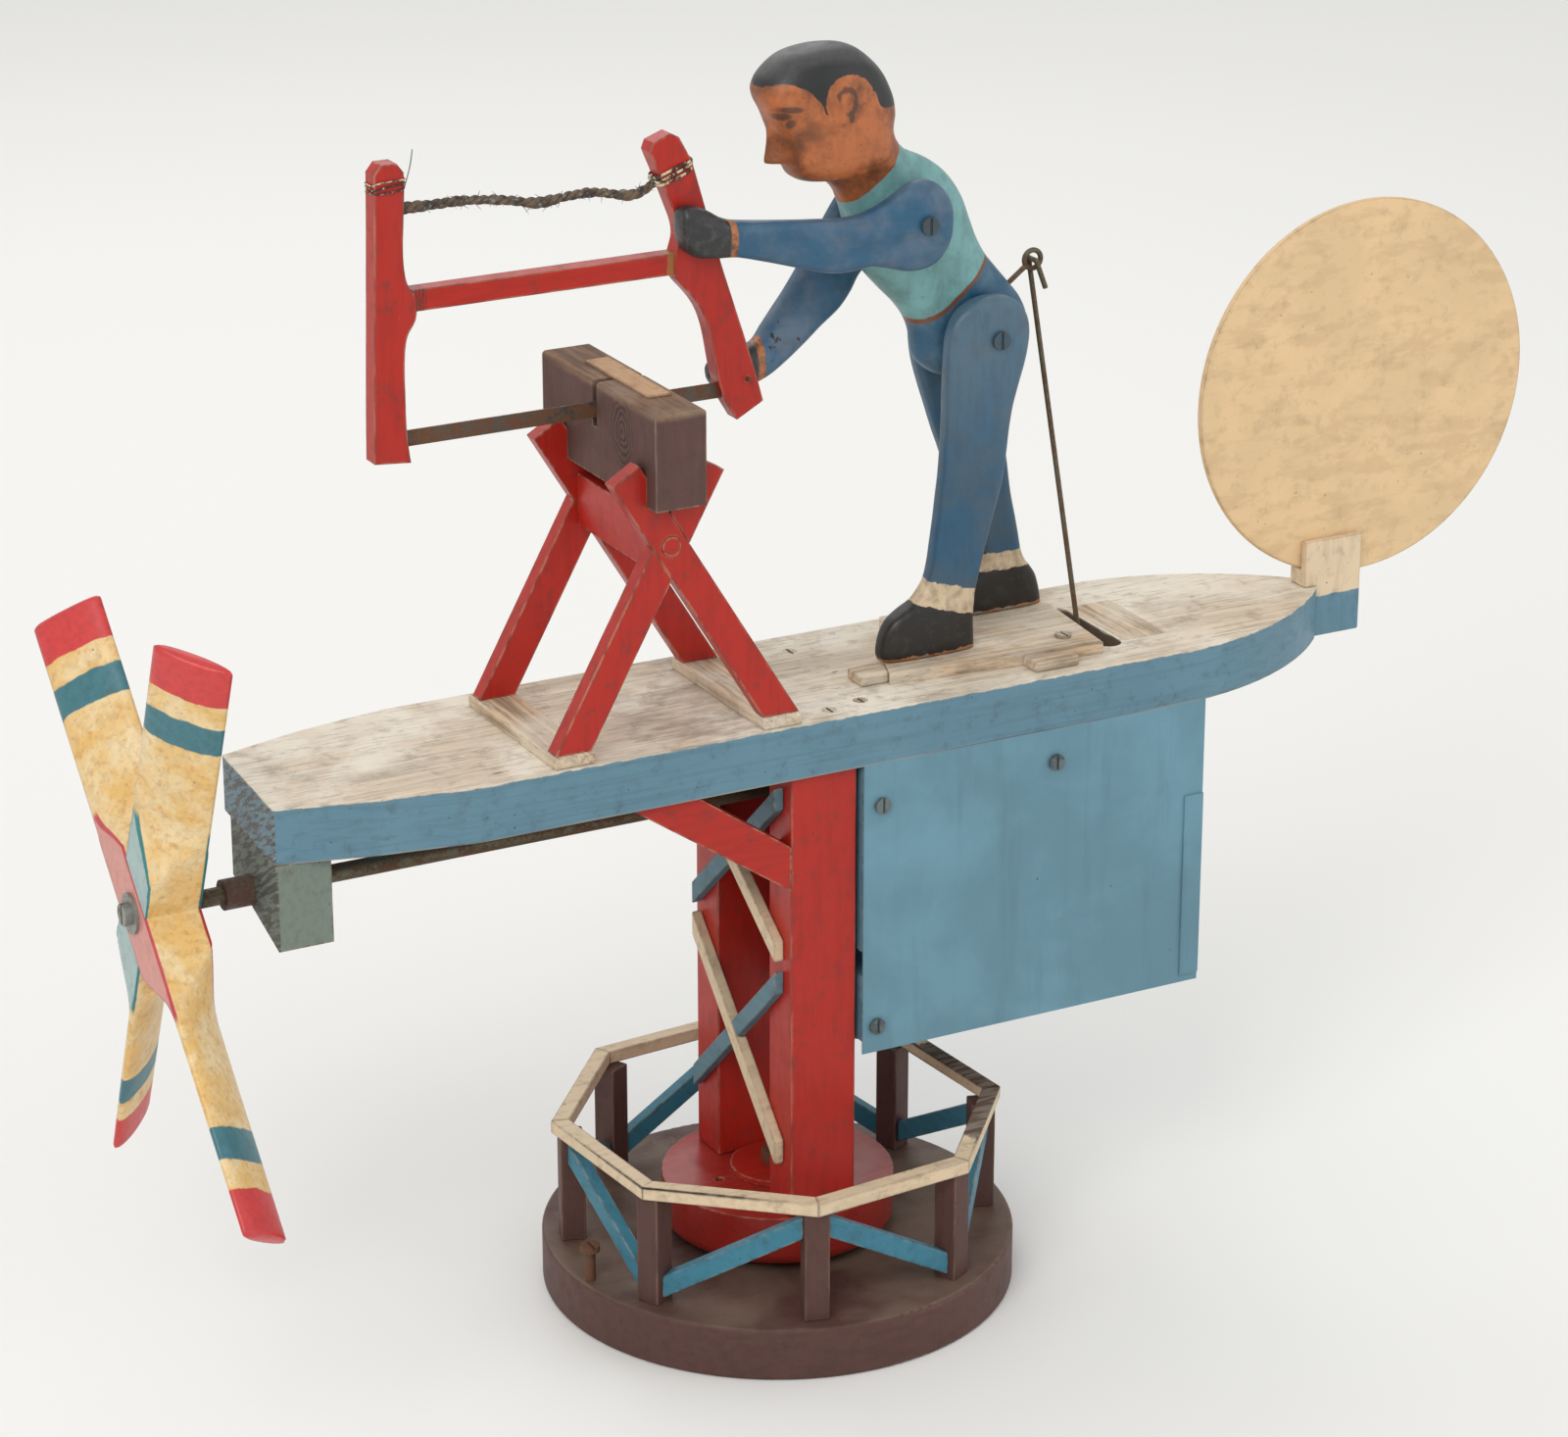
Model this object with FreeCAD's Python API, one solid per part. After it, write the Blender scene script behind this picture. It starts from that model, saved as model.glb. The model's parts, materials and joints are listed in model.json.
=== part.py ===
"""Wind-driven sawyer whirligig, built as separate wooden, sheet and wire pieces.

Row frame, in mm: the origin is the centre of the base's underside, +Z is up, the deck board
runs along X with the propeller at -X and the tail at +X, and -Y is the side of the near cover.
"""
import FreeCAD, Part
import math
import os

# ---- boards and base -------------------------------------------------------------------------
board_t = 25.4            # nominal one-inch board: base, turntable and deck
base_d = 220.0
base_edge_r = 2.0
pivot_d = 8.0
pivot_clearance = 0.05    # radial, bolt in turntable
pivot_depth = 19.0        # length of bolt screwed into the base
pivot_stand = 3.0         # bolt standing above its nut
thrust_washer_d = 26.0
thrust_washer_t = 1.2
turntable_float = 0.4     # axial play above and below the turntable
turntable_d = 108.0
turntable_edge_r = 7.0
red_washer_d = 44.0
red_washer_t = 3.0
nut_across = 13.0
nut_t = 6.5

# ---- gallery on the base ---------------------------------------------------------------------
gallery_corner_r = 105.7
gallery_turn = 162.0      # degrees, first corner
gallery_h = 59.5          # base top to rail top
rail_w = 8.0
rail_h = 6.4
stanchion_side = 11.5
stanchion_inset = 3.4
brace_t = 6.0
brace_h = 11.0

# ---- posts and lattice -----------------------------------------------------------------------
post_rise = 215.1         # turntable top to deck underside
post_depth_x = 33.0
post_depth_y = 21.5
post_front_x = -19.0
near_post_y = -49.0
far_post_y = 22.5
lattice_w = 8.0
lattice_t = 5.0
stay_w = 19.0
stay_t = 11.0
stay_reach = 60.0

# ---- deck ------------------------------------------------------------------------------------
deck_half_w = 52.0
nose_x = -257.0
nose_half_w = 34.0
nose_skew = 5.0           # the nose end is sawn out of square by this much
nose_bend_inset = 7.0
shoulder_x = -170.0
stern_start_x = 192.0
stern_x = 285.0
stern_half_w = 7.5
slot_x = 152.5
slot_w = 12.0
slot_y0 = -31.0
slot_y1 = 26.0
inlay_len = 23.0
inlay_y0 = -27.0
inlay_y1 = 24.0
inlay_t = 6.0

# ---- bearings, shaft and propeller -----------------------------------------------------------
shaft_d = 8.0
running_clearance = 0.05  # radial
shaft_drop = 24.0         # shaft axis below the deck's underside
block_len = 25.0
block_y0 = -36.0
block_y1 = 26.0
block_h = 39.0
block_far_h = 27.0
tube_d = 13.5
tube_reach = 11.0
hub_x = -296.0
stick = 25.4              # square stick of each blade pair
pair_a_turn = 44.0        # degrees from +Z towards +Y
pair_b_turn = -22.6
blade_a_up = 142.0
blade_a_down = 152.0
blade_b_up = 141.0
blade_b_down = 134.0
blade_pitch = 45.0
blade_chord = 34.0
blade_t = 7.5
root_len = 20.0
hub_screw_d = 4.0
hub_washer_d = 18.0
hub_washer_t = 1.5
hub_screw_head_d = 10.0
crank_throw = 6.0
crank_x = 144.5
crank_web_t = 5.0
crank_pin_d = 6.0
crank_pin_len = 8.0
loop_gap = 2.8            # end of crank pin to the rod's loop

# ---- housing under the deck ------------------------------------------------------------------
housing_x0 = 16.0
housing_x1 = 195.0
housing_drop = 140.0
sheet_t = 0.8
upper_spacer_h = 90.0
lower_spacer_h = 32.0
lower_spacer_drop = 102.0
flap_w = 10.0
flap_top_drop = 46.0
flap_end_gap = 4.0
rear_bearing_x = 103.0
rear_bearing_h = 40.0
cover_screw_d = 3.5
cover_head_d = 7.6
cover_head_t = 2.0
cover_screw_len = 14.0

# ---- sawhorse and log ------------------------------------------------------------------------
plate_t = 5.5
plate_w = 19.0
leg_w = 15.0
leg_t = 8.0
horse_near_y = -49.0
horse_far_y = 28.0
horse_foot_front_x = -124.5
horse_foot_rear_x = -24.0
horse_top_front_x = -98.0
horse_top_rear_x = -58.0
horse_rise = 120.0
crossbar_w = 14.0
crossbar_h = 24.0
dowel_d = 9.0
log_x0 = -88.5
log_w = 24.0
log_h = 42.5
log_y0 = -58.0
log_y1 = 52.0
log_rise = 110.6          # deck top to log underside
log_edge_r = 1.8
kerf_w = 4.2
kerf_depth = 20.0
patch_x0 = -80.0
patch_y0 = -34.0
patch_len = 61.0
patch_w = 11.5
patch_t = 1.2

# ---- saw -------------------------------------------------------------------------------------
saw_frame_t = 9.0
saw_blade_h = 7.0
saw_blade_t = 0.8
saw_blade_rise = 140.6    # deck top to the blade's centre line
saw_stretcher_h = 9.4
saw_stretcher_t = 7.5
saw_stretcher_rise = 196.1
saw_cord_front_rise = 243.1
saw_cord_rear_rise = 236.1
saw_nail_rise = 145.1
saw_cord_d = 4.6
binding_t = 1.0
binding_h = 9.0

# ---- figure ----------------------------------------------------------------------------------
figure_y = 8.0
hip_x = 103.0
hip_rise = 149.1          # deck top to hip screws
shoulder_joint_x = 64.0
shoulder_rise = 207.1
hip_half_w = 12.5
shoulder_half_w = 16.0
limb_gap = 0.5
limb_t = 12.0
joint_screw_d = 4.0
joint_head_d = 8.4
joint_head_t = 1.8
foot_board_len = 106.0
foot_board_w = 71.0
foot_board_t = 5.5
foot_board_x = 99.0
foot_board_y = 3.5
foot_board_skew = -5.5
foot_board_break = 26.0   # length of the far front corner that is broken off
shoe_h = 22.0
shoe_w = 14.0
eye_x = 134.0
eye_rise = 176.1
wire_d = 2.4
eye_ring_r = 4.2
rod_side = 3.4
rod_loop_r = 4.9

# ---- tail ------------------------------------------------------------------------------------
vane_d = 181.0
vane_t = 4.0
vane_x = 311.0
vane_rise = 93.6
tail_block_len = 26.0
tail_block_w = 12.5
tail_block_h = 48.0
tail_block_lap = 6.0      # how far its top reaches forward over the deck

# ---- derived levels --------------------------------------------------------------------------
disc_z0 = board_t + thrust_washer_t + turntable_float
disc_z1 = disc_z0 + board_t
deck_z0 = disc_z1 + post_rise
deck_z1 = deck_z0 + board_t
shaft_z = deck_z0 - shaft_drop
shaft_r = shaft_d / 2
cover_y = deck_half_w
spacer_y = cover_y - sheet_t
foot_z = deck_z1 + foot_board_t
leg_foot_z = deck_z1 + plate_t
rail_top_z = board_t + gallery_h
log_base_z = deck_z1 + log_rise
saw_blade_z = deck_z1 + saw_blade_rise
hip_z = deck_z1 + hip_rise
shoulder_z = deck_z1 + shoulder_rise
eye_z = deck_z1 + eye_rise
vane_z = deck_z1 + vane_rise
near_leg_y = figure_y - hip_half_w - limb_gap - limb_t / 2
far_leg_y = figure_y + hip_half_w + limb_gap + limb_t / 2
near_arm_y = figure_y - shoulder_half_w - limb_gap - limb_t / 2
far_arm_y = figure_y + shoulder_half_w + limb_gap + limb_t / 2
pin_y = -crank_throw

X = FreeCAD.Vector(1, 0, 0)
Y = FreeCAD.Vector(0, 1, 0)
Z = FreeCAD.Vector(0, 0, 1)

os.makedirs("parts", exist_ok=True)


def vec(x, y, z):
    return FreeCAD.Vector(x, y, z)


def box(x0, x1, y0, y1, z0, z1):
    return Part.makeBox(x1 - x0, y1 - y0, z1 - z0, vec(x0, y0, z0))


def rod(start, end, radius):
    run = end - start
    return Part.makeCylinder(radius, run.Length, start, run)


def fuse(shapes):
    whole = shapes[0]
    for shape in shapes[1:]:
        whole = whole.fuse(shape)
    return whole.removeSplitter()


def cut_all(shape, tools):
    for tool in tools:
        shape = shape.cut(tool)
    return shape


def prism_y(points, y0, y1):
    """Solid whose outline is given as (x, z) points, between two y planes."""
    wire = Part.makePolygon([vec(x, y0, z) for x, z in points + points[:1]])
    return Part.Face(wire).extrude(vec(0, y1 - y0, 0))


def above_deck(points):
    """Outline given as (x, rise above the deck's top), as (x, z) points."""
    return [(x, deck_z1 + rise) for x, rise in points]


def prism_z(points, z0, z1):
    wire = Part.makePolygon([vec(x, y, z0) for x, y in points + points[:1]])
    return Part.Face(wire).extrude(vec(0, 0, z1 - z0))


def bar_y(start, end, width, y0, y1):
    """Straight flat bar in an XZ plane: start and end are (x, z) on its centre line."""
    dx = end[0] - start[0]
    dz = end[1] - start[1]
    length = math.hypot(dx, dz)
    nx = -dz / length * width / 2
    nz = dx / length * width / 2
    outline = [
        (start[0] + nx, start[1] + nz),
        (end[0] + nx, end[1] + nz),
        (end[0] - nx, end[1] - nz),
        (start[0] - nx, start[1] - nz),
    ]
    return prism_y(outline, y0, y1)


def ellipse_wire(centre, normal, across, half_across, half_y):
    """Closed ellipse in the plane with this normal; across is its in-plane direction."""
    if half_across >= half_y:
        curve = Part.Ellipse(centre + across * half_across, centre + Y * half_y, centre)
    else:
        curve = Part.Ellipse(centre + Y * half_y, centre + across * half_across, centre)
    return Part.Wire([curve.toShape()])


def limb(sections):
    """Loft through (x, y, rise, lean, half_across, half_y): rise is the height above the deck's
    top, and lean turns the section about Y."""
    wires = []
    for x, y, rise, lean, half_across, half_y in sections:
        angle = math.radians(lean)
        across = vec(math.cos(angle), 0, math.sin(angle))
        normal = vec(-math.sin(angle), 0, math.cos(angle))
        wires.append(ellipse_wire(vec(x, y, deck_z1 + rise), normal, across, half_across, half_y))
    return Part.makeLoft(wires, True, False)


def hexagon(across, z0, height):
    corner = across / math.sqrt(3)
    points = []
    for k in range(6):
        angle = math.radians(60 * k + 30)
        points.append((corner * math.cos(angle), corner * math.sin(angle)))
    return prism_z(points, z0, z0 + height)


def slotted_head(diameter, height, base, direction, slot_w_mm):
    """Domed-flat screw head with a straight slot across it."""
    head = Part.makeCylinder(diameter / 2, height, base, direction)
    side = direction.cross(Z)
    if side.Length < 0.5:
        side = X
    side.normalize()
    along = direction.cross(side)
    corner = base + direction * (height * 0.55) - side * (slot_w_mm / 2) - along * diameter
    slot = Part.Face(Part.makePolygon([
        corner,
        corner + side * slot_w_mm,
        corner + side * slot_w_mm + along * (2 * diameter),
        corner + along * (2 * diameter),
        corner,
    ])).extrude(direction * height)
    return head.cut(slot)


def save(name, shape):
    shape.exportStep("parts/" + name + ".step")


# ---- base, bolt and gallery ------------------------------------------------------------------
pivot_z0 = board_t - pivot_depth
pivot_hole = Part.makeCylinder(pivot_d / 2, pivot_depth, vec(0, 0, pivot_z0))
base = Part.makeCylinder(base_d / 2, board_t)
base = base.makeFillet(base_edge_r, base.Edges)
plug_spots = [(-10.0, 98.0), (-63.0, -74.0)]
plugs = [Part.makeCylinder(5.0, 6.0, vec(x, y, board_t - 6.0)) for x, y in plug_spots]
screw_spots = [(-104.0, -14.0, 18.0), (101.0, -6.0, 12.0)]
standing = []
for x, y, proud in screw_spots:
    shank = Part.makeCylinder(2.5, 12.0 + proud, vec(x, y, board_t - 12.0))
    head = slotted_head(9.2, 3.0, vec(x, y, board_t + proud - 3.0), Z, 1.6)
    standing.append(fuse([shank.cut(box(x - 5, x + 5, y - 5, y + 5, board_t + proud - 3.0,
                                         board_t + proud + 1)), head]))
base = cut_all(base, [pivot_hole] + plugs + standing)
save("base_disc", base)
save("base_plugs", Part.makeCompound(plugs))
save("base_screws", Part.makeCompound(standing))

red_washer_z = disc_z1
nut_z = red_washer_z + red_washer_t + turntable_float
bolt_top = nut_z + nut_t + pivot_stand
save("pivot_bolt", Part.makeCylinder(pivot_d / 2, bolt_top - pivot_z0, vec(0, 0, pivot_z0)))
shank_bore = Part.makeCylinder(pivot_d / 2, bolt_top, vec(0, 0, 0))
save("pivot_nut", hexagon(nut_across, nut_z, nut_t).cut(shank_bore))
thrust = Part.makeCylinder(thrust_washer_d / 2, thrust_washer_t, vec(0, 0, board_t)).cut(shank_bore)
save("thrust_washer", thrust)


def corner_angle(k):
    return math.radians(gallery_turn + 45 * k)


rail_z0 = rail_top_z - rail_h
inner_corner_r = gallery_corner_r - rail_w / math.cos(math.radians(22.5))
rails = []
for k in range(8):
    a0 = corner_angle(k)
    a1 = corner_angle(k + 1)
    rails.append(prism_z([
        (gallery_corner_r * math.cos(a0), gallery_corner_r * math.sin(a0)),
        (gallery_corner_r * math.cos(a1), gallery_corner_r * math.sin(a1)),
        (inner_corner_r * math.cos(a1), inner_corner_r * math.sin(a1)),
        (inner_corner_r * math.cos(a0), inner_corner_r * math.sin(a0)),
    ], rail_z0, rail_top_z))
save("gallery_rails", Part.makeCompound(rails))

stanchion_r = gallery_corner_r - stanchion_inset - stanchion_side / 2
stanchions = []
for k in range(8):
    post = box(-stanchion_side / 2, stanchion_side / 2, -stanchion_side / 2, stanchion_side / 2,
               board_t, rail_z0)
    post.translate(vec(stanchion_r, 0, 0))
    post.rotate(vec(0, 0, 0), Z, math.degrees(corner_angle(k)))
    stanchions.append(post)
save("gallery_stanchions", Part.makeCompound(stanchions))

bay_half = stanchion_r * math.sin(math.radians(22.5))
bay_r = stanchion_r * math.cos(math.radians(22.5)) + 1.5
braces = []
for k in range(8):
    ends = (rail_z0, board_t + brace_h)
    left, right = ends if k % 2 == 0 else reversed(ends)
    wire = Part.makePolygon([
        vec(bay_r, -bay_half, left),
        vec(bay_r, bay_half, right),
        vec(bay_r, bay_half, right - brace_h),
        vec(bay_r, -bay_half, left - brace_h),
        vec(bay_r, -bay_half, left),
    ])
    brace = Part.Face(wire).extrude(vec(brace_t, 0, 0))
    brace.translate(vec(-brace_t / 2, 0, 0))
    brace.rotate(vec(0, 0, 0), Z, math.degrees(corner_angle(k)) + 22.5)
    braces.append(cut_all(brace, [stanchions[k], stanchions[(k + 1) % 8]]))
save("gallery_braces", Part.makeCompound([max(b.Solids, key=lambda s: s.Volume) for b in braces]))

# ---- turntable, posts and lattice ------------------------------------------------------------
running_bore = Part.makeCylinder(pivot_d / 2 + pivot_clearance, bolt_top)
turntable = Part.makeCylinder(turntable_d / 2, board_t, vec(0, 0, disc_z0))
low_edges = [e for e in turntable.Edges if e.BoundBox.ZMax < disc_z0 + 0.01]
turntable = turntable.makeFillet(turntable_edge_r, low_edges)
pilot = Part.makeCylinder(2.0, 5.0, vec(-30, 1, disc_z1 - 5.0))
save("turntable_disc", cut_all(turntable, [running_bore, pilot]))
red_washer = Part.makeCylinder(red_washer_d / 2, red_washer_t, vec(0, 0, red_washer_z))

post_back_x = post_front_x + post_depth_x
near_post = box(post_front_x, post_back_x, near_post_y, near_post_y + post_depth_y, disc_z1, deck_z0)
far_post = box(post_front_x, post_back_x, far_post_y, far_post_y + post_depth_y, disc_z1, deck_z0)
save("near_post", near_post)
save("far_post", far_post)
save("red_washer", cut_all(red_washer, [running_bore, near_post, far_post]))


def lattice_bar(y0, z0, y1, z1):
    """Flat bar nailed to the posts' front faces, its ends cut plumb."""
    rise = lattice_w / 2 * math.hypot(y1 - y0, z1 - z0) / abs(y1 - y0)
    front = post_front_x - lattice_t
    wire = Part.makePolygon([
        vec(front, y0, z0 + rise),
        vec(front, y1, z1 + rise),
        vec(front, y1, z1 - rise),
        vec(front, y0, z0 - rise),
        vec(front, y0, z0 + rise),
    ])
    return Part.Face(wire).extrude(vec(lattice_t, 0, 0))


near_nail_y = near_post_y + 7.0
far_nail_y = far_post_y + post_depth_y - 5.0
bay_mid = (disc_z1 + deck_z0) / 2
lattice_1 = lattice_bar(near_nail_y, deck_z0 - 12.0, far_nail_y, bay_mid + 21.0)
lattice_2 = lattice_bar(near_nail_y, bay_mid + 22.0, far_nail_y, deck_z0 - 28.0)
lattice_3 = lattice_bar(near_nail_y, disc_z1 + 30.0, far_nail_y, bay_mid + 6.0)
lattice_4 = lattice_bar(near_nail_y, bay_mid + 7.0, far_nail_y, disc_z1 + 36.0)
front_half = box(post_front_x - lattice_t, post_front_x - lattice_t / 2, -60, 60, disc_z1, deck_z0)
back_half = box(post_front_x - lattice_t / 2, post_front_x, -60, 60, disc_z1, deck_z0)
save("lattice_blue", Part.makeCompound([
    lattice_1.cut(lattice_2.common(front_half)),
    lattice_4.cut(lattice_3.common(front_half)),
]))
save("lattice_cream", Part.makeCompound([
    lattice_2.cut(lattice_1.common(back_half)),
    lattice_3.cut(lattice_4.common(back_half)),
]))


def stay(y_outer, inward):
    """Short slanting stay from a post's front face up to the deck's underside."""
    y0, y1 = sorted((y_outer, y_outer + inward * stay_t))
    outline = [
        (post_front_x - stay_reach - stay_w, deck_z0),
        (post_front_x - stay_reach + stay_w * 0.7, deck_z0),
        (post_front_x, deck_z0 - 33.0),
        (post_front_x, deck_z0 - 33.0 - stay_w * 1.1),
    ]
    return prism_y(outline, y0, y1)


lattice_all = [lattice_1, lattice_2, lattice_3, lattice_4]
near_stay = stay(near_post_y, 1)
far_stay = stay(far_post_y + post_depth_y, -1)
save("deck_stays", Part.makeCompound([cut_all(s, lattice_all) for s in (near_stay, far_stay)]))

# ---- deck ------------------------------------------------------------------------------------
nose_bend = (nose_x + shoulder_x) / 2


def nose_at(y):
    """Where the skewed nose end is at this y."""
    return nose_x + nose_skew * (y + nose_half_w) / (2 * nose_half_w)


near_nose = vec(nose_x, -nose_half_w, deck_z0)
far_nose = vec(nose_x + nose_skew, nose_half_w, deck_z0)
side = [
    far_nose,
    vec(nose_bend, deck_half_w - nose_bend_inset, deck_z0),
    vec(shoulder_x, deck_half_w, deck_z0),
    vec(stern_start_x, deck_half_w, deck_z0),
]
stern_mid_x = stern_start_x + (stern_x - stern_start_x) * 0.55
stern_arc = [side[3], vec(stern_mid_x, deck_half_w * 0.72, deck_z0),
             vec(stern_x, stern_half_w, deck_z0)]


def mirrored(point):
    return vec(point.x, -point.y, point.z)


edges = [
    Part.makeLine(near_nose, far_nose),
    Part.makeLine(side[0], side[1]),
    Part.makeLine(side[1], side[2]),
    Part.makeLine(side[2], side[3]),
    Part.Arc(*stern_arc).toShape(),
    Part.makeLine(stern_arc[2], mirrored(stern_arc[2])),
    Part.Arc(*[mirrored(p) for p in reversed(stern_arc)]).toShape(),
    Part.makeLine(mirrored(side[3]), mirrored(side[2])),
    Part.makeLine(mirrored(side[2]), mirrored(side[1])),
    Part.makeLine(mirrored(side[1]), near_nose),
]
deck = Part.Face(Part.Wire(edges)).extrude(vec(0, 0, board_t))
slot_r = slot_w / 2
slot = fuse([
    box(slot_x, slot_x + slot_w, slot_y0 + slot_r, slot_y1 - slot_r, deck_z0, deck_z1),
    Part.makeCylinder(slot_r, board_t, vec(slot_x + slot_r, slot_y0 + slot_r, deck_z0)),
    Part.makeCylinder(slot_r, board_t, vec(slot_x + slot_r, slot_y1 - slot_r, deck_z0)),
])
inlay_x0 = slot_x + slot_w + 1.5
inlay = box(inlay_x0, inlay_x0 + inlay_len, inlay_y0, inlay_y1, deck_z1 - inlay_t, deck_z1)
deck_screw_spots = [(4.0, -41.0), (22.0, -37.0), (4.0, 34.0), (24.0, 33.0)]
deck_screws = []
for x, y in deck_screw_spots:
    head = slotted_head(7.0, 2.5, vec(x, y, deck_z1 - 2.5), Z, 1.2)
    shank = Part.makeCylinder(1.8, 16.0, vec(x, y, deck_z1 - 18.5))
    deck_screws.append(fuse([head, shank]))
deck_sinks = [Part.makeCylinder(3.5, 2.5, vec(x, y, deck_z1 - 2.5)) for x, y in deck_screw_spots]
save("deck_inlay", inlay)

# ---- bearing block, tube and shaft -----------------------------------------------------------
block_face = Part.Face(Part.makePolygon([
    vec(nose_at(block_y0), block_y0, deck_z0),
    vec(nose_at(block_y1), block_y1, deck_z0),
    vec(nose_at(block_y1), block_y1, deck_z0 - block_far_h),
    vec(nose_at(block_y0), block_y0, deck_z0 - block_h),
    vec(nose_at(block_y0), block_y0, deck_z0),
]))
block = block_face.extrude(vec(block_len, 0, 0))
axis_start = vec(nose_x - tube_reach, 0, shaft_z)
tube_end = vec(nose_at(0) + block_len, 0, shaft_z)
tube_solid = rod(axis_start, tube_end, tube_d / 2)
shaft_bore_r = shaft_r + running_clearance
long_bore = rod(vec(-400, 0, shaft_z), vec(400, 0, shaft_z), shaft_bore_r)
save("bearing_block", cut_all(block, [tube_solid, long_bore]))
save("bearing_tube", tube_solid.cut(long_bore))

hub_front = hub_x - stick / 2
hub_back = hub_x + stick / 2
shaft_front = hub_front + 9.0
shaft_end = crank_x
screw_tip = hub_front + 20.0
shaft = rod(vec(shaft_front, 0, shaft_z), vec(shaft_end, 0, shaft_z), shaft_r)
hub_screw_shank = rod(vec(hub_front - hub_washer_t, 0, shaft_z), vec(screw_tip, 0, shaft_z),
                      hub_screw_d / 2)
shaft = shaft.cut(hub_screw_shank)
save("drive_shaft", shaft)
head_x = hub_front - hub_washer_t
hub_head = slotted_head(hub_screw_head_d, 3.2, vec(head_x, 0, shaft_z), X * -1, 1.6)
save("propeller_screw", fuse([hub_screw_shank, hub_head]))
washer = rod(vec(head_x, 0, shaft_z), vec(hub_front, 0, shaft_z), hub_washer_d / 2)
save("propeller_washer", washer.cut(hub_screw_shank))

web_x1 = crank_x + crank_web_t
web = fuse([
    rod(vec(crank_x, 0, shaft_z), vec(web_x1, 0, shaft_z), 6.0),
    rod(vec(crank_x, pin_y, shaft_z), vec(web_x1, pin_y, shaft_z), 6.0),
    box(crank_x, web_x1, pin_y, 0, shaft_z - 6.0, shaft_z + 6.0),
])
pin_end = web_x1 + crank_pin_len
pin = rod(vec(web_x1, pin_y, shaft_z), vec(pin_end, pin_y, shaft_z), crank_pin_d / 2)
save("crank", fuse([web, pin]))


def blade(turn, reach):
    """One carved blade: a square root at the hub that thins to a pitched, lens-shaped tip."""
    half = stick / 2
    slope = math.radians(blade_pitch)
    wires = []
    for share in (0.0, 0.5, 1.0):
        z = shaft_z + root_len + (reach - root_len) * share
        chord = blade_chord * (0.96 + 0.04 * share)
        thick = blade_t * (1.6 - 0.6 * share)
        centre = vec(hub_x, 0, z)
        along = vec(-math.sin(slope), math.cos(slope), 0)
        across = vec(math.cos(slope), math.sin(slope), 0)
        lens = Part.Ellipse(centre + along * (chord / 2), centre + across * (thick / 2), centre)
        wires.append(Part.Wire([lens.toShape()]))
    vane = Part.makeLoft(wires, True, False)
    stub = box(hub_front, hub_back, -half, half, shaft_z, shaft_z + root_len + 4.0)
    keep = Part.makeCylinder(blade_chord / 2, root_len + 4.0, vec(hub_x, 0, shaft_z))
    whole = fuse([stub.common(keep), vane])
    whole.rotate(vec(hub_x, 0, shaft_z), X * -1, turn)
    return whole


pair_a = fuse([blade(pair_a_turn, blade_a_up), blade(pair_a_turn + 180, blade_a_down)])
pair_b = fuse([blade(pair_b_turn, blade_b_up), blade(pair_b_turn + 180, blade_b_down)])
overlap = pair_a.common(pair_b)
front_space = box(hub_front - 5, hub_x, -80, 80, shaft_z - 80, shaft_z + 80)
back_space = box(hub_x, hub_back + 5, -80, 80, shaft_z - 80, shaft_z + 80)
hub_bore = [rod(vec(shaft_front, 0, shaft_z), vec(hub_back + 5, 0, shaft_z), shaft_r),
            hub_screw_shank]
pair_a = cut_all(pair_a, [overlap.common(back_space)] + hub_bore)
pair_b = cut_all(pair_b, [overlap.common(front_space)] + hub_bore)
save("blade_pair_a", pair_a)
save("blade_pair_b", pair_b)

# ---- housing ---------------------------------------------------------------------------------
housing_z0 = deck_z0 - housing_drop
spacer_x1 = housing_x0 + board_t
upper_spacer = box(housing_x0, spacer_x1, -spacer_y, spacer_y, deck_z0 - upper_spacer_h, deck_z0)
lower_z1 = deck_z0 - lower_spacer_drop
lower_spacer = box(housing_x0, spacer_x1, -spacer_y, spacer_y, lower_z1 - lower_spacer_h, lower_z1)
rear_x1 = rear_bearing_x + board_t
rear_bearing = box(rear_bearing_x, rear_x1, -spacer_y, spacer_y, deck_z0 - rear_bearing_h, deck_z0)
tail_stop_x = housing_x1 - sheet_t
rear_cleat = box(tail_stop_x - 16.0, tail_stop_x, -spacer_y, spacer_y, deck_z0 - 22.0, deck_z0)
cover_spots = [(25.0, deck_z0 - 20.0), (115.0, deck_z0 - 16.0), (23.0, lower_z1 - 25.0)]
near_screws = []
far_screws = []
for x, z in cover_spots:
    for group, sign in ((near_screws, -1), (far_screws, 1)):
        out = Y * sign
        head = slotted_head(cover_head_d, cover_head_t, vec(x, sign * cover_y, z), out, 1.2)
        shank = rod(vec(x, sign * (cover_y - cover_screw_len), z), vec(x, sign * cover_y, z),
                    cover_screw_d / 2)
        group.append(fuse([head, shank]))
screws = near_screws + far_screws
near_cover = box(housing_x0, housing_x1 - sheet_t, -cover_y, -spacer_y, housing_z0, deck_z0)
far_sheet = box(housing_x0, housing_x1, spacer_y, cover_y, housing_z0, deck_z0)
rear_sheet = box(housing_x1 - sheet_t, housing_x1, -cover_y, cover_y, housing_z0, deck_z0)
flap_z0 = housing_z0 + flap_end_gap
flap_z1 = deck_z0 - flap_top_drop
flap = box(housing_x1 - flap_w, housing_x1, -cover_y - sheet_t, -cover_y, flap_z0, flap_z1)
save("near_cover", cut_all(near_cover, screws))
save("far_cover", cut_all(fuse([far_sheet, rear_sheet, flap]), screws))
save("upper_spacer", cut_all(upper_spacer, screws + [long_bore]))
save("lower_spacer", cut_all(lower_spacer, screws))
save("rear_bearing", cut_all(rear_bearing, screws + [long_bore]))
save("rear_cleat", rear_cleat)
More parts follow.
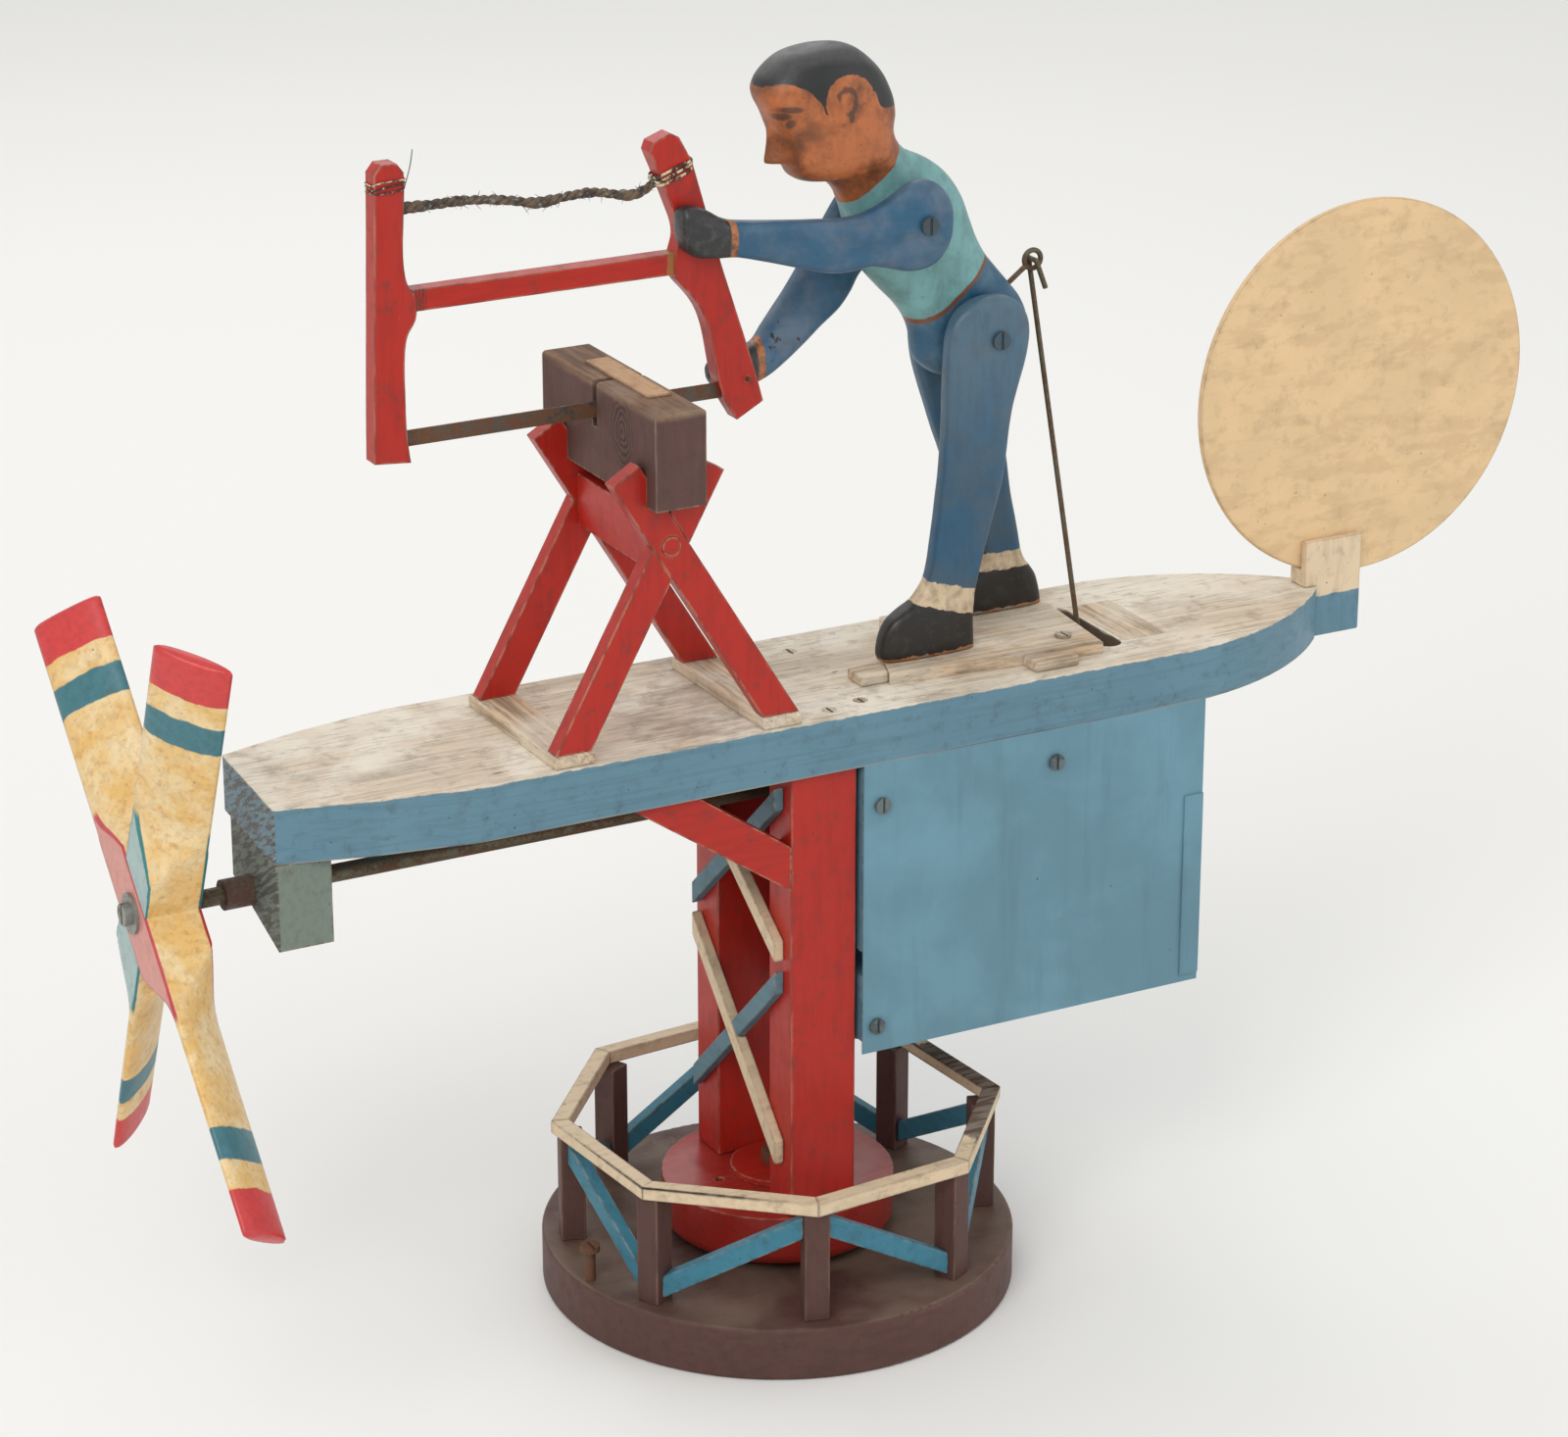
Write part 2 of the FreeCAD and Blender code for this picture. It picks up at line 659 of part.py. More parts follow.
save("cover_screws", Part.makeCompound(screws))

# ---- sawhorse --------------------------------------------------------------------------------
leg_top_z = leg_foot_z + horse_rise


def trimmed_leg(foot_x, top_x, y0):
    """Leg in an XZ plane, its foot cut level with the foot plate."""
    dx = top_x - foot_x
    extra = 12.0
    start = (foot_x - dx * extra / horse_rise, leg_foot_z - extra)
    solid = bar_y(start, (top_x, leg_top_z), leg_w, y0, y0 + leg_t)
    return solid.cut(box(-200, 50, -80, 80, leg_foot_z - 40, leg_foot_z))


def crossing_pair(y0):
    """Two legs halved into each other: the rearward one keeps the outer half."""
    falling = trimmed_leg(horse_foot_rear_x, horse_top_front_x, y0)
    rising = trimmed_leg(horse_foot_front_x, horse_top_rear_x, y0)
    shared = falling.common(rising)
    near_half = box(-200, 50, y0, y0 + leg_t / 2, leg_foot_z, leg_top_z + 20)
    far_half = box(-200, 50, y0 + leg_t / 2, y0 + leg_t, leg_foot_z, leg_top_z + 20)
    return falling.cut(shared.common(far_half)), rising.cut(shared.common(near_half))


span_a = horse_top_front_x - horse_foot_rear_x
span_b = horse_top_rear_x - horse_foot_front_x
meet = (horse_foot_rear_x - horse_foot_front_x) / (span_b - span_a)
cross_x = horse_foot_front_x + span_b * meet
cross_z = leg_foot_z + horse_rise * meet
bar_y0 = horse_near_y + leg_t
dowel_near = rod(vec(cross_x, horse_near_y - 0.6, cross_z), vec(cross_x, bar_y0 + 12, cross_z),
                 dowel_d / 2)
dowel_far = rod(vec(cross_x, horse_far_y - 12, cross_z),
                vec(cross_x, horse_far_y + leg_t + 0.6, cross_z), dowel_d / 2)
dowels = [dowel_near, dowel_far]
near_falling, near_rising = crossing_pair(horse_near_y)
far_falling, far_rising = crossing_pair(horse_far_y)
horse_legs = [near_falling, near_rising, far_falling, far_rising]
save("horse_legs_falling",
     Part.makeCompound([cut_all(s, dowels) for s in (near_falling, far_falling)]))
save("horse_legs_rising",
     Part.makeCompound([cut_all(s, dowels) for s in (near_rising, far_rising)]))
crossbar = box(cross_x - crossbar_w / 2, cross_x + crossbar_w / 2, bar_y0, horse_far_y,
               cross_z - crossbar_h / 2, cross_z + crossbar_h / 2)
save("horse_crossbar", cut_all(crossbar, dowels))
save("horse_dowels", Part.makeCompound(dowels))
plate_y0 = horse_near_y - 1.5
plate_y1 = horse_far_y + leg_t + 2.5
plates = [
    box(x - plate_w / 2, x + plate_w / 2, plate_y0, plate_y1, deck_z1, leg_foot_z)
    for x in (horse_foot_front_x, horse_foot_rear_x)
]
save("horse_plates", Part.makeCompound(plates))

log_x1 = log_x0 + log_w
log_top = log_base_z + log_h
log = box(log_x0, log_x1, log_y0, log_y1, log_base_z, log_top)
long_edges = [e for e in log.Edges if e.BoundBox.YLength > 50 and e.BoundBox.ZMin > log_top - 1]
log = log.makeFillet(log_edge_r, long_edges)
kerf = box(log_x0 - 1, log_x1 + 1, -kerf_w / 2, kerf_w / 2, log_top - kerf_depth, log_top + 1)
save("log", cut_all(log, [kerf, crossbar] + horse_legs))
patch = box(patch_x0, patch_x0 + patch_w, patch_y0, patch_y0 + patch_len, log_top,
            log_top + patch_t)
save("log_patch", patch)

# ---- saw -------------------------------------------------------------------------------------
saw_y0 = -saw_frame_t / 2
saw_y1 = saw_frame_t / 2
front_outline = [
    [(-193.0, 132.6), (-192.0, 170.0), (-190.4, 215.0), (-189.2, 256.1)],
    [(-189.2, 256.1), (-186.0, 260.1)],
    [(-186.0, 260.1), (-179.0, 260.1)],
    [(-179.0, 260.1), (-176.0, 256.1)],
    [(-176.0, 256.1), (-176.4, 240.0), (-177.3, 222.0), (-176.6, 212.0), (-174.6, 206.3),
     (-172.3, 203.0), (-171.8, 197.5), (-172.6, 192.4), (-175.6, 187.6), (-177.7, 179.0),
     (-178.2, 162.0), (-177.8, 143.0), (-176.4, 131.1)],
    [(-176.4, 131.1), (-193.0, 132.6)],
]
rear_outline = [
    [(-63.0, 251.1), (-61.5, 255.0)],
    [(-61.5, 255.0), (-53.0, 258.1)],
    [(-53.0, 258.1), (-49.0, 256.0)],
    [(-49.0, 256.0), (-43.0, 245.1)],
    [(-43.0, 245.1), (-36.5, 223.1), (-29.5, 199.1), (-19.0, 167.1), (-9.0, 134.1)],
    [(-9.0, 134.1), (-22.0, 127.1)],
    [(-22.0, 127.1), (-28.0, 137.1)],
    [(-28.0, 137.1), (-33.5, 160.1), (-39.0, 179.0), (-46.0, 188.5), (-51.0, 195.0),
     (-51.0, 206.0), (-49.5, 211.0), (-53.0, 226.1), (-58.0, 239.1), (-63.0, 251.1)],
]


def sawn(outline, y0, y1, shift=0.0):
    """Solid between two y planes from runs of (x, rise above the deck) points: a run of two
    points is a straight edge, and a longer one is a smooth curve through its points."""
    edges = []
    for run in outline:
        points = [vec(x + shift, y0, deck_z1 + rise) for x, rise in run]
        if len(points) == 2:
            edges.append(Part.makeLine(*points))
        else:
            curve = Part.BSplineCurve()
            curve.interpolate(points)
            edges.append(curve.toShape())
    return Part.Face(Part.Wire(edges)).extrude(vec(0, y1 - y0, 0))


blade_solid = box(-184.0, -18.0, -saw_blade_t / 2, saw_blade_t / 2, saw_blade_z - saw_blade_h / 2,
                  saw_blade_z + saw_blade_h / 2)
front_upright = sawn(front_outline, saw_y0, saw_y1).cut(blade_solid)
rear_upright = sawn(rear_outline, saw_y0, saw_y1).cut(blade_solid)
nail_z = deck_z1 + saw_nail_rise
nail = rod(vec(-17.0, saw_y0 - 3.0, nail_z), vec(-17.0, saw_y0 + 4.0, nail_z), 0.9)
save("saw_front_upright", front_upright)
save("saw_rear_upright", rear_upright.cut(nail))
save("saw_nail", nail)
save("saw_blade", blade_solid)
stretcher_z = deck_z1 + saw_stretcher_rise
stretcher = box(-174.0, -45.0, -saw_stretcher_t / 2, saw_stretcher_t / 2, stretcher_z,
                stretcher_z + saw_stretcher_h)
stretcher = cut_all(stretcher, [front_upright, rear_upright])
save("saw_stretcher", max(stretcher.Solids, key=lambda s: s.Volume))
cord = rod(vec(-180.0, 0, deck_z1 + saw_cord_front_rise), vec(-52.0, 0, deck_z1 + saw_cord_rear_rise),
           saw_cord_d / 2)
cord = cut_all(cord, [front_upright, rear_upright])
cord = max(cord.Solids, key=lambda s: s.Volume)
save("saw_cord", cord)


def binding(outline, z0):
    """Band of string wound round an upright."""
    band = fuse([
        sawn(outline, saw_y0 - binding_t, saw_y1 + binding_t),
        sawn(outline, saw_y0, saw_y1, -binding_t),
        sawn(outline, saw_y0, saw_y1, binding_t),
    ]).common(box(-220, 20, -20, 20, z0, z0 + binding_h))
    return band.cut(sawn(outline, saw_y0, saw_y1))


bindings = [
    binding(front_outline, deck_z1 + saw_cord_front_rise + 3.5),
    binding(rear_outline, deck_z1 + saw_cord_rear_rise - 1.0),
]
save("saw_bindings", Part.makeCompound([b.cut(cord) for b in bindings]))

# ---- figure: torso with head -----------------------------------------------------------------
body_core = limb([
    (97.0, figure_y, 131.1, 0, 11.0, 7.5),
    (101.0, figure_y, 139.1, 0, 25.0, 11.3),
    (101.0, figure_y, 148.1, 0, 29.0, hip_half_w),
    (97.5, figure_y, 159.1, 0, 30.3, hip_half_w),
    (88.5, figure_y, 171.1, 0, 31.3, hip_half_w + 0.6),
    (78.5, figure_y, 183.1, 0, 31.5, hip_half_w + 1.5),
    (71.5, figure_y, 195.1, 0, 30.5, shoulder_half_w - 0.8),
    (67.0, figure_y, 207.1, 0, 30.0, shoulder_half_w),
    (63.5, figure_y, 217.1, 0, 28.0, shoulder_half_w - 1.0),
    (60.0, figure_y, 225.1, 0, 22.0, shoulder_half_w - 4.0),
    (57.0, figure_y, 231.1, 0, 14.0, shoulder_half_w - 8.0),
])
neck = rod(vec(56.0, figure_y, deck_z1 + 215.1), vec(36.0, figure_y, deck_z1 + 252.1), 12.5)
ball = Part.makeSphere(1.0)
skull_fit = FreeCAD.Matrix()
skull_fit.scale(34.5, 19.5, 28.5)
skull = ball.transformGeometry(skull_fit)
skull.translate(vec(28.5, figure_y, deck_z1 + 258.6))
nose = prism_y(above_deck([(1.0, 259.1), (-3.5, 238.6), (2.0, 237.1), (14.0, 245.1), (16.0, 259.1)]),
               figure_y - 4.0, figure_y + 4.0)
torso = fuse([body_core, neck, skull, nose])
hip_pin_r = joint_screw_d / 2
near_leg_out = near_leg_y - limb_t / 2
far_leg_out = far_leg_y + limb_t / 2
near_arm_out = near_arm_y - limb_t / 2
far_arm_out = far_arm_y + limb_t / 2


def pivot_screw(x, z, y_out, sign):
    """Round-head screw from a limb's outer face into the torso."""
    head = slotted_head(joint_head_d, joint_head_t, vec(x, y_out + sign * 0.3, z), Y * sign, 1.4)
    tip_y = figure_y + sign * 3.0
    shank = rod(vec(x, tip_y, z), vec(x, y_out + sign * 0.3, z), hip_pin_r)
    return fuse([head, shank])


hip_screws = [pivot_screw(hip_x, hip_z, near_leg_out, -1), pivot_screw(hip_x, hip_z, far_leg_out, 1)]
shoulder_screws = [
    pivot_screw(shoulder_joint_x, shoulder_z, near_arm_out, -1),
    pivot_screw(shoulder_joint_x, shoulder_z, far_arm_out, 1),
]
eye_centre = vec(eye_x, figure_y, eye_z)
eye_foot = vec(112.0, figure_y, deck_z1 + 159.6)
eye_run = eye_centre - eye_foot
eye_run.normalize()
eye_shank = rod(eye_foot, eye_centre - eye_run * eye_ring_r, wire_d / 2)
eye_ring = Part.makeTorus(eye_ring_r, wire_d / 2, eye_centre, Y)
screw_eye = fuse([eye_shank, eye_ring])
save("torso", cut_all(torso, hip_screws + shoulder_screws + [screw_eye]))
save("limb_screws", Part.makeCompound(hip_screws + shoulder_screws))
save("screw_eye", screw_eye)

# ---- figure: legs ----------------------------------------------------------------------------
limb_bore_r = hip_pin_r + running_clearance
hip_bore = rod(vec(hip_x, -60, hip_z), vec(hip_x, 80, hip_z), limb_bore_r)
shoulder_bore = rod(vec(shoulder_joint_x, -60, shoulder_z), vec(shoulder_joint_x, 80, shoulder_z),
                    limb_bore_r)
half_t = limb_t / 2


def leg(y, sections, shoe_outline):
    hip_disc = rod(vec(hip_x - 2.0, y - half_t, hip_z), vec(hip_x - 2.0, y + half_t, hip_z), 19.5)
    stem = limb([(x, y, rise, 0, half, half_t) for x, rise, half in sections])
    shoe = prism_y(shoe_outline, y - shoe_w / 2, y + shoe_w / 2)
    return fuse([stem, hip_disc, shoe]).cut(hip_bore)


ankle_z = foot_z + shoe_h
ankle_rise = foot_board_t + shoe_h
near_leg = leg(near_leg_y, [
    (82.0, ankle_rise - 2.0, 11.6), (82.5, ankle_rise + 14.0, 12.5), (87.5, ankle_rise + 34.0, 13.5),
    (93.5, ankle_rise + 65.0, 16.5), (95.5, ankle_rise + 89.0, 17.7), (99.5, hip_rise, 19.0),
], [
    (46.0, foot_z), (45.5, foot_z + 8.0), (50.0, foot_z + 15.0), (62.0, foot_z + 20.0),
    (72.0, ankle_z), (94.0, ankle_z), (95.0, foot_z),
])
far_leg = leg(far_leg_y, [
    (132.0, ankle_rise - 2.0, 11.0), (129.5, ankle_rise + 11.0, 10.5), (124.5, ankle_rise + 25.0, 12.0),
    (117.5, ankle_rise + 49.0, 15.5), (110.0, ankle_rise + 75.0, 17.7), (102.0, hip_rise, 19.0),
], [
    (106.0, foot_z), (105.5, foot_z + 8.0), (110.0, foot_z + 15.0), (121.0, foot_z + 20.0),
    (124.0, ankle_z), (143.0, ankle_z), (151.0, foot_z + 12.0), (152.0, foot_z),
])
save("near_leg", near_leg)
save("far_leg", far_leg)

half_len = foot_board_len / 2
half_wide = foot_board_w / 2
foot_board = prism_z([
    (foot_board_x - half_len, foot_board_y - half_wide),
    (foot_board_x + half_len, foot_board_y - half_wide),
    (foot_board_x + half_len, foot_board_y + half_wide),
    (foot_board_x - half_len + foot_board_break, foot_board_y + half_wide),
    (foot_board_x - half_len + 6.0, foot_board_y - half_wide + 25.0),
], deck_z1, foot_z)
foot_board.rotate(vec(foot_board_x, foot_board_y, 0), Z, foot_board_skew)
board_screw_spot = vec(136.0, -22.0, foot_z)
board_head = slotted_head(7.4, 1.6, board_screw_spot, Z, 1.2)
board_shank = Part.makeCylinder(1.8, 14.0, vec(136.0, -22.0, foot_z - 14.0))
board_screw = fuse([board_head, board_shank])
save("foot_board", foot_board.cut(board_screw))
deck_final = cut_all(deck, [slot, inlay, board_screw] + deck_screws + deck_sinks)
save("deck", deck_final)
save("deck_screws", Part.makeCompound(deck_screws + [board_screw]))
stops = [
    box(30.0, 47.0, -24.0, -10.0, deck_z1, deck_z1 + 5.0).cut(foot_board),
    box(108.0, 131.0, -45.0, -29.5, deck_z1, deck_z1 + 5.0).cut(foot_board),
]
save("foot_stops", Part.makeCompound(stops))

# ---- figure: arms ----------------------------------------------------------------------------
grip_y = saw_y0 - half_t + 0.6
near_arm = limb([
    (81.5, near_arm_y, 206.9, 90, 6.0, 3.5),
    (77.0, near_arm_y, 206.4, 90, 12.0, half_t),
    (70.5, near_arm_y, 206.5, 90, 15.9, half_t),
    (60.0, near_arm_y, 206.9, 90, 17.4, half_t),
    (50.0, near_arm_y, 206.0, 90, 15.2, half_t),
    (40.0, near_arm_y, 204.6, 90, 11.4, half_t),
    (22.0, near_arm_y + 1.0, 202.6, 90, 10.8, half_t),
    (5.0, (near_arm_y + grip_y) / 2, 204.8, 90, 9.9, half_t),
    (-13.0, grip_y, 208.7, 90, 8.2, half_t),
    (-30.0, grip_y, 211.8, 90, 7.7, half_t),
])
near_fist = limb([
    (-25.0, grip_y, 211.6, 90, 8.4, half_t),
    (-33.0, grip_y, 213.1, 90, 11.0, half_t + 0.4),
    (-43.0, grip_y, 214.6, 90, 11.5, half_t + 0.4),
    (-50.0, grip_y, 216.1, 90, 7.5, half_t - 1.0),
])
far_grip_y = saw_y1 + half_t - 0.6
far_arm = limb([
    (76.0, far_arm_y, 218.6, 140, 8.0, 4.0),
    (71.0, far_arm_y, 215.1, 140, 14.0, half_t),
    (64.0, far_arm_y, 207.1, 140, 16.0, half_t),
    (54.0, far_arm_y, 194.1, 140, 14.0, half_t),
    (39.0, far_arm_y - 3.0, 176.1, 132, 11.5, half_t),
    (17.0, (far_arm_y + far_grip_y) / 2, 161.6, 120, 10.0, half_t),
    (-6.0, far_grip_y + 0.8, 150.6, 117, 8.2, half_t),
])
far_fist = limb([
    (-2.0, far_grip_y + 0.6, 152.1, 117, 8.6, half_t),
    (-12.0, far_grip_y, 147.1, 117, 10.0, half_t),
    (-23.0, far_grip_y, 142.1, 117, 9.5, half_t),
    (-29.0, far_grip_y, 139.1, 117, 5.5, half_t - 2.0),
])
arm_tools = [front_upright, rear_upright, nail, shoulder_bore, blade_solid, stretcher]
save("near_arm", cut_all(fuse([near_arm, near_fist]), arm_tools))
save("far_arm", cut_all(fuse([far_arm, far_fist]), arm_tools))

# ---- connecting rod --------------------------------------------------------------------------
loop_centre = vec(pin_end + loop_gap + wire_d / 2, pin_y, shaft_z)
turn_out = vec(eye_x, figure_y + rod_side, eye_z)
turn_in = vec(eye_x, figure_y - rod_side, eye_z)
free_end = vec(eye_x + 5.0, figure_y - rod_side, eye_z - 13.0)
loop_top = loop_centre + vec(0, 0, rod_loop_r)
wire_r = wire_d / 2
bend_r = wire_r * 1.04
connecting_rod = fuse([
    rod(free_end, turn_in, wire_r),
    Part.makeSphere(bend_r, turn_in),
    rod(turn_in, turn_out, wire_r),
    Part.makeSphere(bend_r, turn_out),
    rod(turn_out, loop_top, wire_r),
    Part.makeSphere(bend_r, loop_top),
    Part.makeTorus(rod_loop_r, wire_r, loop_centre, X),
])
save("connecting_rod", connecting_rod)

# ---- tail ------------------------------------------------------------------------------------
vane = rod(vec(vane_x, -vane_t / 2, vane_z), vec(vane_x, vane_t / 2, vane_z), vane_d / 2)
half_w = tail_block_w / 2
block_top = deck_z0 + tail_block_h
tail_block = prism_y([
    (stern_x, deck_z0), (stern_x, deck_z1), (stern_x - tail_block_lap, deck_z1),
    (stern_x - tail_block_lap, block_top), (stern_x + tail_block_len, block_top),
    (stern_x + tail_block_len, deck_z0),
], -half_w, half_w)
save("tail_vane", vane)
save("tail_block", tail_block.cut(vane))
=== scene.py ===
"""Looks of the wind-driven sawyer whirligig, as an add-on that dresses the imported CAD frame."""
import json
import math

import bmesh
import bpy
import numpy as np
from bpy.props import FloatProperty, FloatVectorProperty, PointerProperty
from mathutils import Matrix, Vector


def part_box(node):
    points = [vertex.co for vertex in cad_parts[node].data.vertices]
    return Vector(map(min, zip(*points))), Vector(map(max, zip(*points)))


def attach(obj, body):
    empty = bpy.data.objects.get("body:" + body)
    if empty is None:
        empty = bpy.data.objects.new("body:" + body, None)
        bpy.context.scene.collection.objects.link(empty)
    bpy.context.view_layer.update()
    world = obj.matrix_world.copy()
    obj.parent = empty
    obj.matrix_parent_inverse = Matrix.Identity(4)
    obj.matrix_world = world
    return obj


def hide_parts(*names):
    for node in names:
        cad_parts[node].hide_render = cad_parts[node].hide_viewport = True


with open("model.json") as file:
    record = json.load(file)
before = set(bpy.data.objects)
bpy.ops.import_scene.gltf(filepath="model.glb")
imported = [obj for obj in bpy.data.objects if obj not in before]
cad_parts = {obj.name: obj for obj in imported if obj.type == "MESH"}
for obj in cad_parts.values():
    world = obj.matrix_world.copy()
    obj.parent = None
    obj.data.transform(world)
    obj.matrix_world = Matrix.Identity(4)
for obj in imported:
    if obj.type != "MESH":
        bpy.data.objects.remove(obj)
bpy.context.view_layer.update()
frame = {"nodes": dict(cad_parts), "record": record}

bl_info = {
    "name": "Sawyer whirligig",
    "version": (1, 0, 0),
    "blender": (4, 5, 0),
    "location": "View3D > Sidebar > Whirligig",
    "description": "Dresses the packed whirligig frame with carved, painted and weathered pieces",
    "category": "Object",
}

NODES = frame["nodes"]
BODY_OF = {node: body for body, nodes in frame["record"]["behaviour"]["bodies"].items() for node in nodes}
MM = 0.001
DECK_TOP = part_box("deck")[1].z
DECK_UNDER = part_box("deck")[0].z
SHAFT_Z = (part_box("drive_shaft")[0].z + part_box("drive_shaft")[1].z) / 2
HALF_STICK = 0.0127
NOSE_SKEW = 0.0735
NOSE_FACE = -0.2534
CORD_WIDE = 0.0046
LIMB_HALF = 6.0
SHOE_HALF = 7.0
NEAR_LEG_Y = -11.0
FAR_LEG_Y = 27.0
HUB_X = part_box("propeller_washer")[1].x + HALF_STICK


# ---- what a user may change -------------------------------------------------------------------
def paint(label, colour):
    return FloatVectorProperty(name=label, description=f"Base colour of the {label.lower()}",
                               subtype="COLOR", size=3, min=0, max=1, default=colour)


def length(label, value, top=0.1):
    return FloatProperty(name=label, description=f"{label}, in metres", subtype="DISTANCE",
                         unit="LENGTH", min=0, max=top, default=value)


def share(label, value):
    return FloatProperty(name=label, description=f"{label}, from none to full", subtype="FACTOR",
                         min=0, max=1, default=value)


class WhirligigPaints(bpy.types.PropertyGroup):
    """House paints on the wooden pieces, as linear colours."""

    red: paint("Red paint", (0.40, 0.018, 0.010))
    brown: paint("Brown paint", (0.092, 0.043, 0.036))
    cream: paint("Cream paint", (0.67, 0.53, 0.36))
    blue: paint("Deck blue", (0.095, 0.205, 0.275))
    block: paint("Bearing block green", (0.16, 0.20, 0.165))
    blade: paint("Blade yellow", (0.73, 0.46, 0.15))
    band: paint("Blade band blue", (0.035, 0.14, 0.17))
    tip: paint("Blade tip red", (0.56, 0.035, 0.035))
    shirt: paint("Shirt teal", (0.155, 0.345, 0.345))
    trousers: paint("Trouser blue", (0.016, 0.086, 0.165))
    skin: paint("Skin", (0.36, 0.105, 0.030))
    hair: paint("Hair", (0.013, 0.014, 0.015))
    wood: paint("Bare wood", (0.47, 0.345, 0.225))
    vane: paint("Tail vane tan", (0.70, 0.50, 0.285))
    sheet: paint("Sheet metal blue", (0.105, 0.225, 0.29))
    steel: paint("Rusty steel", (0.10, 0.062, 0.042))


class WhirligigWear(bpy.types.PropertyGroup):
    """How worn and how softly rounded the pieces are."""

    edges: share("Paint lost at edges", 0.5)
    chips: share("Chipped paint", 0.4)
    grime: share("Grime", 0.45)
    board_edge: length("Rounding of the boards", 0.0011, 0.005)
    strip_edge: length("Rounding of strips and legs", 0.0007, 0.005)
    blade_half: length("Half width of a blade", 0.0176, 0.03)
    twist_pitch: length("Twist of the saw's cord", 0.013, 0.05)


# ---- meshes ------------------------------------------------------------------------------------
def lay_mesh(name, points, faces, smooth=True):
    """New object from an array of points and an array or list of faces, turned outwards.

    The sum of the signed volumes of the triangles from the origin is negative when the faces
    point inwards, and then every face is reversed.
    """
    sizes = np.array([len(face) for face in faces])
    flat = np.concatenate([np.asarray(face) for face in faces]).astype(np.int32)
    starts = np.concatenate([[0], np.cumsum(sizes)[:-1]]).astype(np.int32)
    first = points[flat[starts]]
    volume = 0.0
    for step in range(1, sizes.max() - 1):
        fits = sizes > step + 1
        second = points[flat[starts[fits] + step]]
        third = points[flat[starts[fits] + step + 1]]
        volume += np.einsum("ij,ij->", first[fits], np.cross(second, third))
    if volume < 0:
        order = np.concatenate([np.arange(a + n - 1, a - 1, -1) for a, n in zip(starts, sizes)])
        flat = flat[order]
    mesh = bpy.data.meshes.new(name)
    mesh.vertices.add(len(points))
    mesh.vertices.foreach_set("co", points.astype(np.float32).ravel())
    mesh.loops.add(len(flat))
    mesh.loops.foreach_set("vertex_index", flat)
    mesh.polygons.add(len(sizes))
    mesh.polygons.foreach_set("loop_start", starts)
    mesh.update(calc_edges=True)
    mesh.validate()
    mesh.polygons.foreach_set("use_smooth", np.full(len(sizes), smooth))
    piece = bpy.data.objects.new(name, mesh)
    bpy.context.scene.collection.objects.link(piece)
    return piece


def tube_faces(rows, around, offset=0):
    """Quads of a grid that closes on itself across, with a pole vertex at each end."""
    r, a = np.meshgrid(np.arange(rows - 1), np.arange(around), indexing="ij")
    b = (a + 1) % around
    quads = np.stack([r * around + a, r * around + b, (r + 1) * around + b,
                      (r + 1) * around + a], -1).reshape(-1, 4) + offset
    near = offset + rows * around
    a = np.arange(around)
    b = (a + 1) % around
    last = (rows - 1) * around
    start = np.stack([np.full(around, near), b + offset, a + offset], -1)
    end = np.stack([np.full(around, near + 1), a + last + offset, b + last + offset], -1)
    return list(quads) + list(start) + list(end)


def closed_form(name, grid, smooth=True):
    """Closed piece from a (rows, around, 3) grid of points: its ends are fans to their centres."""
    rows, around = grid.shape[:2]
    points = np.concatenate([grid.reshape(-1, 3), grid[0].mean(0)[None], grid[-1].mean(0)[None]])
    return lay_mesh(name, points, tube_faces(rows, around), smooth)


def joined_form(name, grids, smooth=True):
    """Several closed forms as the separate shells of one piece."""
    points, faces, offset = [], [], 0
    for grid in grids:
        rows, around = grid.shape[:2]
        points += [grid.reshape(-1, 3), grid[0].mean(0)[None], grid[-1].mean(0)[None]]
        faces += tube_faces(rows, around, offset)
        offset += rows * around + 2
    return lay_mesh(name, np.concatenate(points), faces, smooth)


def point_value(piece, name, values, at_poles):
    """A number at every vertex, which materials read by name; the end fans' centres share one."""
    values = np.asarray(values, np.float32).ravel()
    spare = len(piece.data.vertices) - len(values)
    values = np.concatenate([values, np.full(spare, at_poles, np.float32)])
    piece.data.attributes.new(name, "FLOAT", "POINT").data.foreach_set("value", values)


def smooth_rows(rows, count):
    """A row of numbers at each of count equal steps along the control rows.

    Each span between two rows is a cubic whose slopes are half the difference of the rows on
    either side of it, so the curve goes through every row.
    """
    rows = np.asarray(rows, float)
    gaps = np.linalg.norm(np.diff(rows[:, :4], axis=0), axis=1)
    along = np.concatenate([[0], np.cumsum(gaps + 1e-6)])
    at = np.linspace(0, along[-1], count)
    k = np.clip(np.searchsorted(along, at, "right") - 1, 0, len(rows) - 2)
    t = ((at - along[k]) / (along[k + 1] - along[k]))[:, None]
    before, after = rows[np.maximum(k - 1, 0)], rows[np.minimum(k + 2, len(rows) - 1)]
    p, q = rows[k], rows[k + 1]
    span = (along[k + 1] - along[k])[:, None]
    width_p = (along[k + 1] - along[np.maximum(k - 1, 0)])[:, None]
    width_q = (along[np.minimum(k + 2, len(rows) - 1)] - along[k])[:, None]
    m, n = (q - before) / width_p * span, (after - p) / width_q * span
    return ((2 * t ** 3 - 3 * t ** 2 + 1) * p + (t ** 3 - 2 * t ** 2 + t) * m
            + (3 * t ** 2 - 2 * t ** 3) * q + (t ** 3 - t ** 2) * n)


